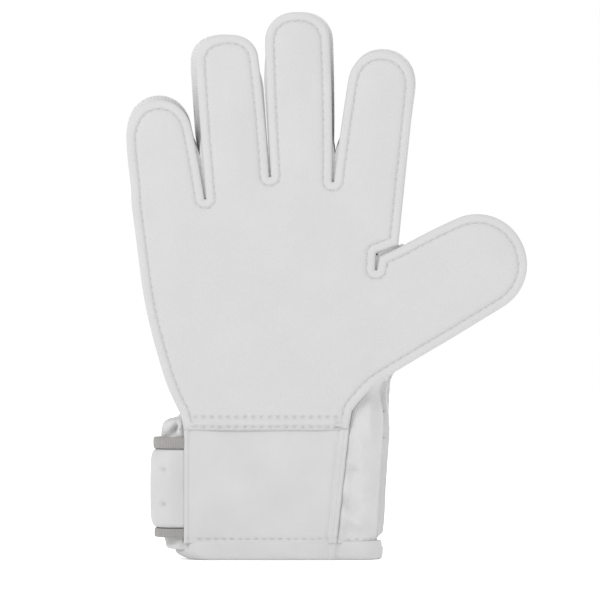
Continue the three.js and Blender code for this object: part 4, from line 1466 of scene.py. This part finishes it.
def thumb_side_row(k):
    """One row of the fabric where it is sewn to both sheets, at the k-th sample of their outlines."""
    palm, back = palm_seam[k], back_seam[k]
    weight = smoothstep(palm[1], SHEET_END, STRETCH_TOP - 4)
    start = palm[0] + CLOTH_EDGE
    end = right_turn(palm[1]) + past_right_turn(back[0], palm[1])
    share = fabric_shares(start, end, palm[1])
    height = palm[1] + (back[1] - palm[1]) * share
    end = right_turn(height) + past_right_turn(back[0], height)
    q = start + share * (end - start)
    tuck = (1.3 + 0.7 * weight) * (np.exp(-(q - start) / 2.2) + np.exp(-(end - q) / 2.2))
    out = thumb_side_out(q, height)
    near, far = palm - 2.6 * palm_side_in[k], back - 2.6 * back_side_in[k]
    near = np.array([near[0], behind_palm(palm[1]), near[1]])
    far = np.array([far[0], behind_back(back[1]), far[1]])
    outward = np.array([far[1] - near[1], near[0] - far[0], 0.0])
    outward /= np.linalg.norm(outward)
    arch = np.sin(np.pi * share)
    bulge = (7.5 * (1 - weight) + 0.8) * arch**0.75 + out * arch
    straight = near + share[:, None] * (far - near) + bulge[:, None] * outward
    return (1 - weight) * on_cuff(q, height, out - tuck) + weight * straight


def stretch_pieces(name, grid, cloth, segment_at, replaced):
    """Pieces of elastic fabric from the grid of its outer face."""
    inner = grid - FABRIC_THICK * grid_normals(grid)
    shape = grid_shell(grid, inner, cloth, segment_at)
    shape.pieces(name, ["stretch", "stretch", "lining"], "stretch_fabric", replaced, held="stretched")


def make_thumb_side():
    """The elastic fabric on the thumb side, from the hem over the wrist to below the thumb."""
    rows = []
    for z in np.arange(PANEL_END, SHEET_END - 0.8, 1.5):
        start, end = seam_x(z) + BAND_HALF - 1.6, thumb_side_end(z)
        q = start + fabric_shares(start, end, z) * (end - start)
        rise = 1.4 * hump(q - start, 2.4, 2.0) - 1.6 * np.exp(-(q - start) / 0.9)
        rows.append(on_cuff(q, z, thumb_side_out(q, z) + rise))
    top = np.argmax(palm_side[:, 1] > STRETCH_TOP)
    rows += [thumb_side_row(k) for k in range(top + 1)]
    grid = crumpled(np.array(rows).transpose(1, 0, 2), *THUMB_SIDE_LOOSE)
    replaced = {
        "cuff": ["cuff_thumb_side_gusset"],
        "wrist": ["wrist_flex_band"],
        "hand": ["thumb_side_gusset"],
    }
    stretch_pieces("thumb_side_fabric", grid, cut_pattern(grid), row_segments(grid.shape[1]), replaced)


def make_little_side():
    """The elastic fabric on the little-finger side, puckered above the strap, with a small tip below it."""
    low = np.array([5.0, 5.3, 5.8, 6.7, 8.0])
    rows = np.concatenate([low, np.arange(9.2, 56, 3.0), np.arange(56.5, LITTLE_STRETCH_TOP + 0.1, 0.9)])
    start, end = back_from_left(FRONT_LEFT + 2), FRONT_LEFT + 0.8
    q, z = np.meshgrid(start + np.linspace(0, 1, 44) * (end - start), rows, indexing="ij")
    past = LEFT_TURN - q
    pucker = hump(z, 61.8, 4.2)
    creases = 0.9 * hump(past, 9.5, 3) - 0.9 * hump(past + (z - 62) * 0.9, 5.2, 1.1)
    creases += 0.7 * np.cos((past - 2.3) * 1.5) * hump(past, 8.3, 8)
    deep = 3.6 * hump(past + 0.4 * (z - 61), 5.8, 1.7) * hump(z, 60.8, 3.2)
    tuck = 1.2 * (np.exp(-(q - start) / 2.0) + np.exp(-(end - q) / 2.0))
    grid = on_cuff(q, z, 0.35 * soft_noise(q, z, 17, 21) + pucker * creases - deep - tuck)
    drawn_in = np.interp(z, *LITTLE_TIP) + np.interp(z, *LITTLE_SHOULDER)
    grid[..., 0] += smoothstep(LEFT_TURN - grid[..., 0], -3, CUFF_DEPTH) * drawn_in
    grid[..., 1] = CUFF_MIDDLE + (grid[..., 1] - CUFF_MIDDLE) * (1 - 0.16 * smoothstep(z, 63, 70))
    grid = crumpled(grid, *LITTLE_SIDE_LOOSE)
    replaced = {"cuff": ["cuff_little_side_gusset"]}
    stretch_pieces("little_side_fabric", grid, np.stack([q, z], -1), below_hand, replaced)


def ring_shell(heights, count, left, right, outer, inner):
    """A ring of fabric of the given heights. Its ends meet in a seam in the middle of the back.
    outer and inner are its offsets, as functions of x, of the angle round from the front, and of z."""
    u, z = np.meshgrid(np.linspace(0, 1, count), heights, indexing="ij")
    start = left(z) + CUFF_DEPTH
    flat = right(z) - CUFF_DEPTH - start
    round_all = 2 * (flat + HALF_ROUND)
    s = (u * round_all + 1.5 * flat + HALF_ROUND) % round_all
    first, second = s - flat, s - 2 * flat - HALF_ROUND
    angle = (np.clip(first, 0, HALF_ROUND) + np.clip(second, 0, HALF_ROUND)) / CUFF_DEPTH
    middle = start + np.clip(s, 0, flat) - np.clip(s - flat - HALF_ROUND, 0, flat)
    edge = middle + np.sin(angle) * CUFF_DEPTH
    grids = []
    for out in (outer(edge, angle, z), inner(edge, angle, z)):
        x = middle + np.sin(angle) * (CUFF_DEPTH + out)
        grids.append(np.stack([x, CUFF_MIDDLE - np.cos(angle) * (CUFF_DEPTH + out), z], -1))
    return grid_shell(*grids, np.stack([u * round_all, z], -1), only("cuff"))


def hem_left(z):
    return HEM_LOW[0] + HEM_OUT + np.interp(z, *HEM_CORNER)


def hem_right(z):
    return cuff_right(z) + RIDGE - 0.8


def make_hem():
    heights = np.array([0.02, 0.15, 0.5, 1.1, 2.0, 3.2, 4.4, 5.6, 6.8, 7.7, 8.3, 8.65, 8.85, HEM_TOP])

    def outer(x, angle, z):
        turned = np.sin(angle)
        edge = 1.5 * np.exp(-z / 0.55) + 0.4 * np.exp(-(HEM_TOP - z) / 0.5)
        notch = 1.6 * hump(turned, 1, 0.03) * smoothstep(z, 5.5, 8)
        band = x - seam_x(z)
        seams = hump(band, -1.9, 0.6) + hump(band, 1.9, 0.6) + hump(x, FRONT_LEFT + 2.5, 0.7)
        thin = 1.3 * smoothstep(band, 1.4, 3.2) * (1 - smoothstep(turned, 0.9, 1))
        waves = 0.12 * soft_noise(x, z + 4 * np.cos(angle), 24, 9)
        return HEM_OUT + waves - edge - notch - (thin + 0.4 * seams) * (np.cos(angle) > 0)

    def inner(x, angle, z):
        return -2.0 + 0.6 * np.exp(-z / 0.5)

    shape = ring_shell(heights, 260, hem_left, hem_right, outer, inner)
    shape.pieces("hem", ["cuff", "cuff", "lining"], "cuff_foam", {"cuff": ["cuff_hem"]}, 0.6)


def make_lining():
    heights = np.concatenate([[1.2, 1.6, 2.2, 3.2], np.arange(5, 57.4, 3.2), [57.4]])

    def left(z):
        return CUFF_LEFT + np.interp(z, [0, 4, 9, 16], [15, 8.5, 6, 0])

    def outer(x, angle, z):
        return -2.3 - 0.5 * np.exp(-(z - 1.2) / 0.6) + 0.3 * soft_noise(x, z + 4 * np.cos(angle), 22, 31)

    def inner(x, angle, z):
        return outer(x, angle, z) - FABRIC_THICK

    shape = ring_shell(heights, 120, left, cuff_right, outer, inner)
    replaced = {"cuff": ["cuff_lining"]}
    shape.pieces("cuff_lining_fabric", ["lining"] * 3, "lining_fabric", replaced, held="stretched")


def make_cuff_stitches():
    """The hem's row of stitches, round the whole cuff."""
    seam = seam_x(HEM_ROW)
    ridge = right_turn(HEM_ROW) + RIDGE_TURN * HALF_ROUND
    back_end = ridge + 4 + (right_turn(HEM_ROW) - LEFT_TURN)
    for name, start, end, out in (
        ("hem_row", FRONT_LEFT + 4, seam - 3, front_out),
        ("hem_row_thumb_side", seam + 3, ridge - 2, lambda q, z: thumb_side_out(q, z) - 0.1),
        ("hem_row_back", ridge + 4, back_end, back_out),
    ):
        q = needle_run(start, end)
        z = np.full(len(q), HEM_ROW)
        stitches(name, on_cuff(q, z, out(q, z) + 0.15), cuff_normal(q, z), only("cuff"), 0.4)


# ---------------------------------------------------------------- the strap
def strap_rise(q):
    """How far the strap stands off the cuff: tucked under the front panel's edge, full round the side."""
    away = FRONT_LEFT - q
    return 2.2 * smoothstep(away, -2.5, 0) + 2.7 * smoothstep(away, 0, 10) - 1.0


def pillow(z, low, high, height):
    """A flat-topped crown between two heights."""
    return height * (1 - (2 * (z - low) / (high - low) - 1) ** 6)


def make_strap_wrap():
    across = spaced(back_from_left(FLAP_LOW[0] + 0.2), FRONT_LEFT + 2.4, 0.75)
    low, high = WRAP_LOW[2] - 0.2, WRAP_HIGH[2] + 0.4

    def body(q, z):
        crown = pillow(z, low, high, 2.0) * smoothstep(FRONT_LEFT - q, -1, 6)
        dots = sum(hump(np.hypot(FRONT_LEFT - q - DOT_BACK, z - dot), 0, 1.0) for dot in DOT_HEIGHTS)
        return strap_rise(q) + crown - 1.8 * dots + 0.12 * soft_noise(q, z, 18, 41)

    shape = cuff_patch(across, spaced(low, high, 0.8), body, STRAP_THICK, only("cuff"))
    shape.pieces("strap_round_side", ["cuff", "cuff", "lining"], "cuff_foam", {"cuff": ["strap_wrap"]}, 0.7)
    top, bottom = (WRAP_TOP_LOW[2] + 0.2, WRAP_TOP_HIGH[2]), (WRAP_BOTTOM_LOW[2], WRAP_BOTTOM_HIGH[2] - 0.2)
    for edge, limits, proud in (("top", top, 0.5), ("bottom", bottom, 0.0)):
        def tape(q, z, proud=proud):
            return strap_rise(q) + proud + 0.08 * soft_noise(q, z, 9, 43)

        shape = cuff_patch(across, spaced(*limits, 0.8), tape, STRAP_THICK, only("cuff"), falls=(0.4,) * 4)
        replaced = {"cuff": [f"strap_wrap_binding_{edge}"]}
        shape.pieces(f"strap_tape_{edge}", ["tape"] * 3, "grey_tape", replaced)


def flap_segment(points):
    bend = SEGMENTS.index("strap_bend")
    return np.where(points[:, 0] < FLAP_LOW[0] + STRAP_BEND, bend, SEGMENTS.index("strap_flap"))


def back_plate(across, up, far, thick, segment_at, fall=0.9):
    """A plate of fabric behind the glove: far(x, z) is its outer face."""
    x, z = np.meshgrid(across, up, indexing="ij")
    drop = fall * np.maximum(edge_fall(across)[:, None], edge_fall(up)[None, :])
    height = far(x, z)
    outer = np.stack([x, height - drop, z], -1)
    inner = np.stack([x, height - thick + INNER_ROUND * drop, z], -1)
    return grid_shell(outer[::-1], inner[::-1], np.stack([x, z], -1)[::-1], segment_at)


def make_flap():
    far_face, thick = FLAP_HIGH[1], FLAP_HIGH[1] - FLAP_LOW[1]
    left, right = FLAP_LOW[0], FLAP_HIGH[0]
    low, high = FLAP_LOW[2] - 0.2, FLAP_HIGH[2] + 0.2
    rows = {"low": low + 2.2, "high": high - 2.2}
    across = spaced(left, right, 1.7)

    def body(x, z):
        grooves = sum(0.6 * hump(z, row, ROW_WIDE) * stitch_pull(x) for row in rows.values())
        return far_face - 0.5 + pillow(z, low, high, 0.7) - grooves + 0.15 * soft_noise(x, z, 30, 51)

    def tape(x, z):
        return far_face + 0.3 + 0.1 * soft_noise(x, z, 9, 53)

    shape = back_plate(across, spaced(low, high, 1.3), body, thick, flap_segment)
    replaced = {"strap_flap": ["strap_flap"]}
    shape.pieces("strap_flap_foam", ["cuff", "cuff", "lining"], "cuff_foam", replaced, 0.6)
    for name, row in rows.items():
        x = np.arange(left + 1, right - 1, PATH_STEP)
        z = np.full(len(x), row)
        path = np.stack([x, body(x, z) + 0.3, z], 1)
        stitches(f"flap_row_{name}", path, (0.0, 1.0, 0.0), flap_segment, 0.4)
    top, bottom = (FLAP_TOP_LOW[2], FLAP_TOP_HIGH[2]), (FLAP_BOTTOM_LOW[2], FLAP_BOTTOM_HIGH[2])
    for edge, limits in (("top", top), ("bottom", bottom)):
        shape = back_plate(across, spaced(*limits, 0.8), tape, thick + 0.6, flap_segment, 0.8)
        replaced = {"strap_flap": [f"strap_flap_binding_{edge}"]}
        shape.pieces(f"flap_tape_{edge}", ["tape"] * 3, "grey_tape", replaced)


def make_patches():
    """The hook and loop patches and the pull tab: flat plates, as large as their CAD pieces."""
    for name, node, material, slot, segment in (
        ("hook_strip", "hook_patch", "hook", "hook_and_loop", "strap_flap"),
        ("loop_strip", "loop_patch", "loop", "hook_and_loop", "cuff"),
        ("pull_tab_tape", "pull_tab", "tape", "grey_tape", "strap_flap"),
    ):
        low, high = box_mm(node)
        across, up = (spaced(low[k], high[k], 2.2) for k in (0, 2))
        far = np.full((len(across), len(up)), high[1])
        shape = back_plate(across, up, lambda x, z: far, high[1] - low[1], only(segment), 0.35)
        shape.pieces(name, [material] * 3, slot, {segment: [node]})


make_sheets()
make_walls()
make_sheet_stitches()
make_front_panel()
make_back_panel()
make_thumb_side()
make_little_side()
make_hem()
make_lining()
make_cuff_stitches()
make_strap_wrap()
make_flap()
make_patches()


# ---------------------------------------------------------------- stage, light and camera
def stage():
    side = FLOOR_SIDE / 2
    points = [(-side, -side, 0), (side, -side, 0), (side, side, 0), (-side, side, 0)]
    mesh = new_mesh("floor", points, [(0, 1, 2, 3)])
    material, shader = new_material("floor_white")
    for name, value in (
        ("Base Color", (0.93, 0.93, 0.93)),
        ("Roughness", 1.0),
        ("Specular IOR Level", 0.0),
        ("Emission Color", (1, 1, 1)),
        ("Emission Strength", 0.3),
    ):
        set_socket(shader.inputs[name], value)
    mesh.materials.append(material)
    add_object("floor", mesh)
    world = bpy.data.worlds.new("studio")
    bpy.context.scene.world = world
    world.use_nodes = True
    background = world.node_tree.nodes["Background"]
    set_socket(background.inputs["Color"], (1, 1, 1))
    set_socket(background.inputs["Strength"], 1.0)


def area_light(name, place, size, power):
    data = bpy.data.lights.new(name, "AREA")
    data.size = size
    data.energy = power
    light = add_object(name, data)
    light.location = place
    light.rotation_euler = (LIGHT_TARGET - Vector(place)).to_track_quat("-Z", "Y").to_euler()


def camera():
    size = np.array(cad_box[1]) - np.array(cad_box[0])
    data = bpy.data.cameras.new("camera")
    data.sensor_width = SENSOR
    data.lens = SENSOR * VIEW_DISTANCE / (VIEW_HEIGHT * size[2])
    made = add_object("camera", data)
    made.location = (VIEW_LEFT * size[0], PALM_FACE * MM - VIEW_DISTANCE, VIEW_MIDDLE * size[2])
    made.rotation_euler = (math.pi / 2, 0, 0)
    bpy.context.scene.camera = made


stage()
area_light("key", (-1.1, -1.1, 1.3), 0.8, 20)
area_light("fill", (1.3, -0.9, 0.6), 1.0, 4)
area_light("back_key", (1.0, 1.3, 1.3), 0.9, 16)
camera()
bpy.context.scene.view_settings.view_transform = "Standard"
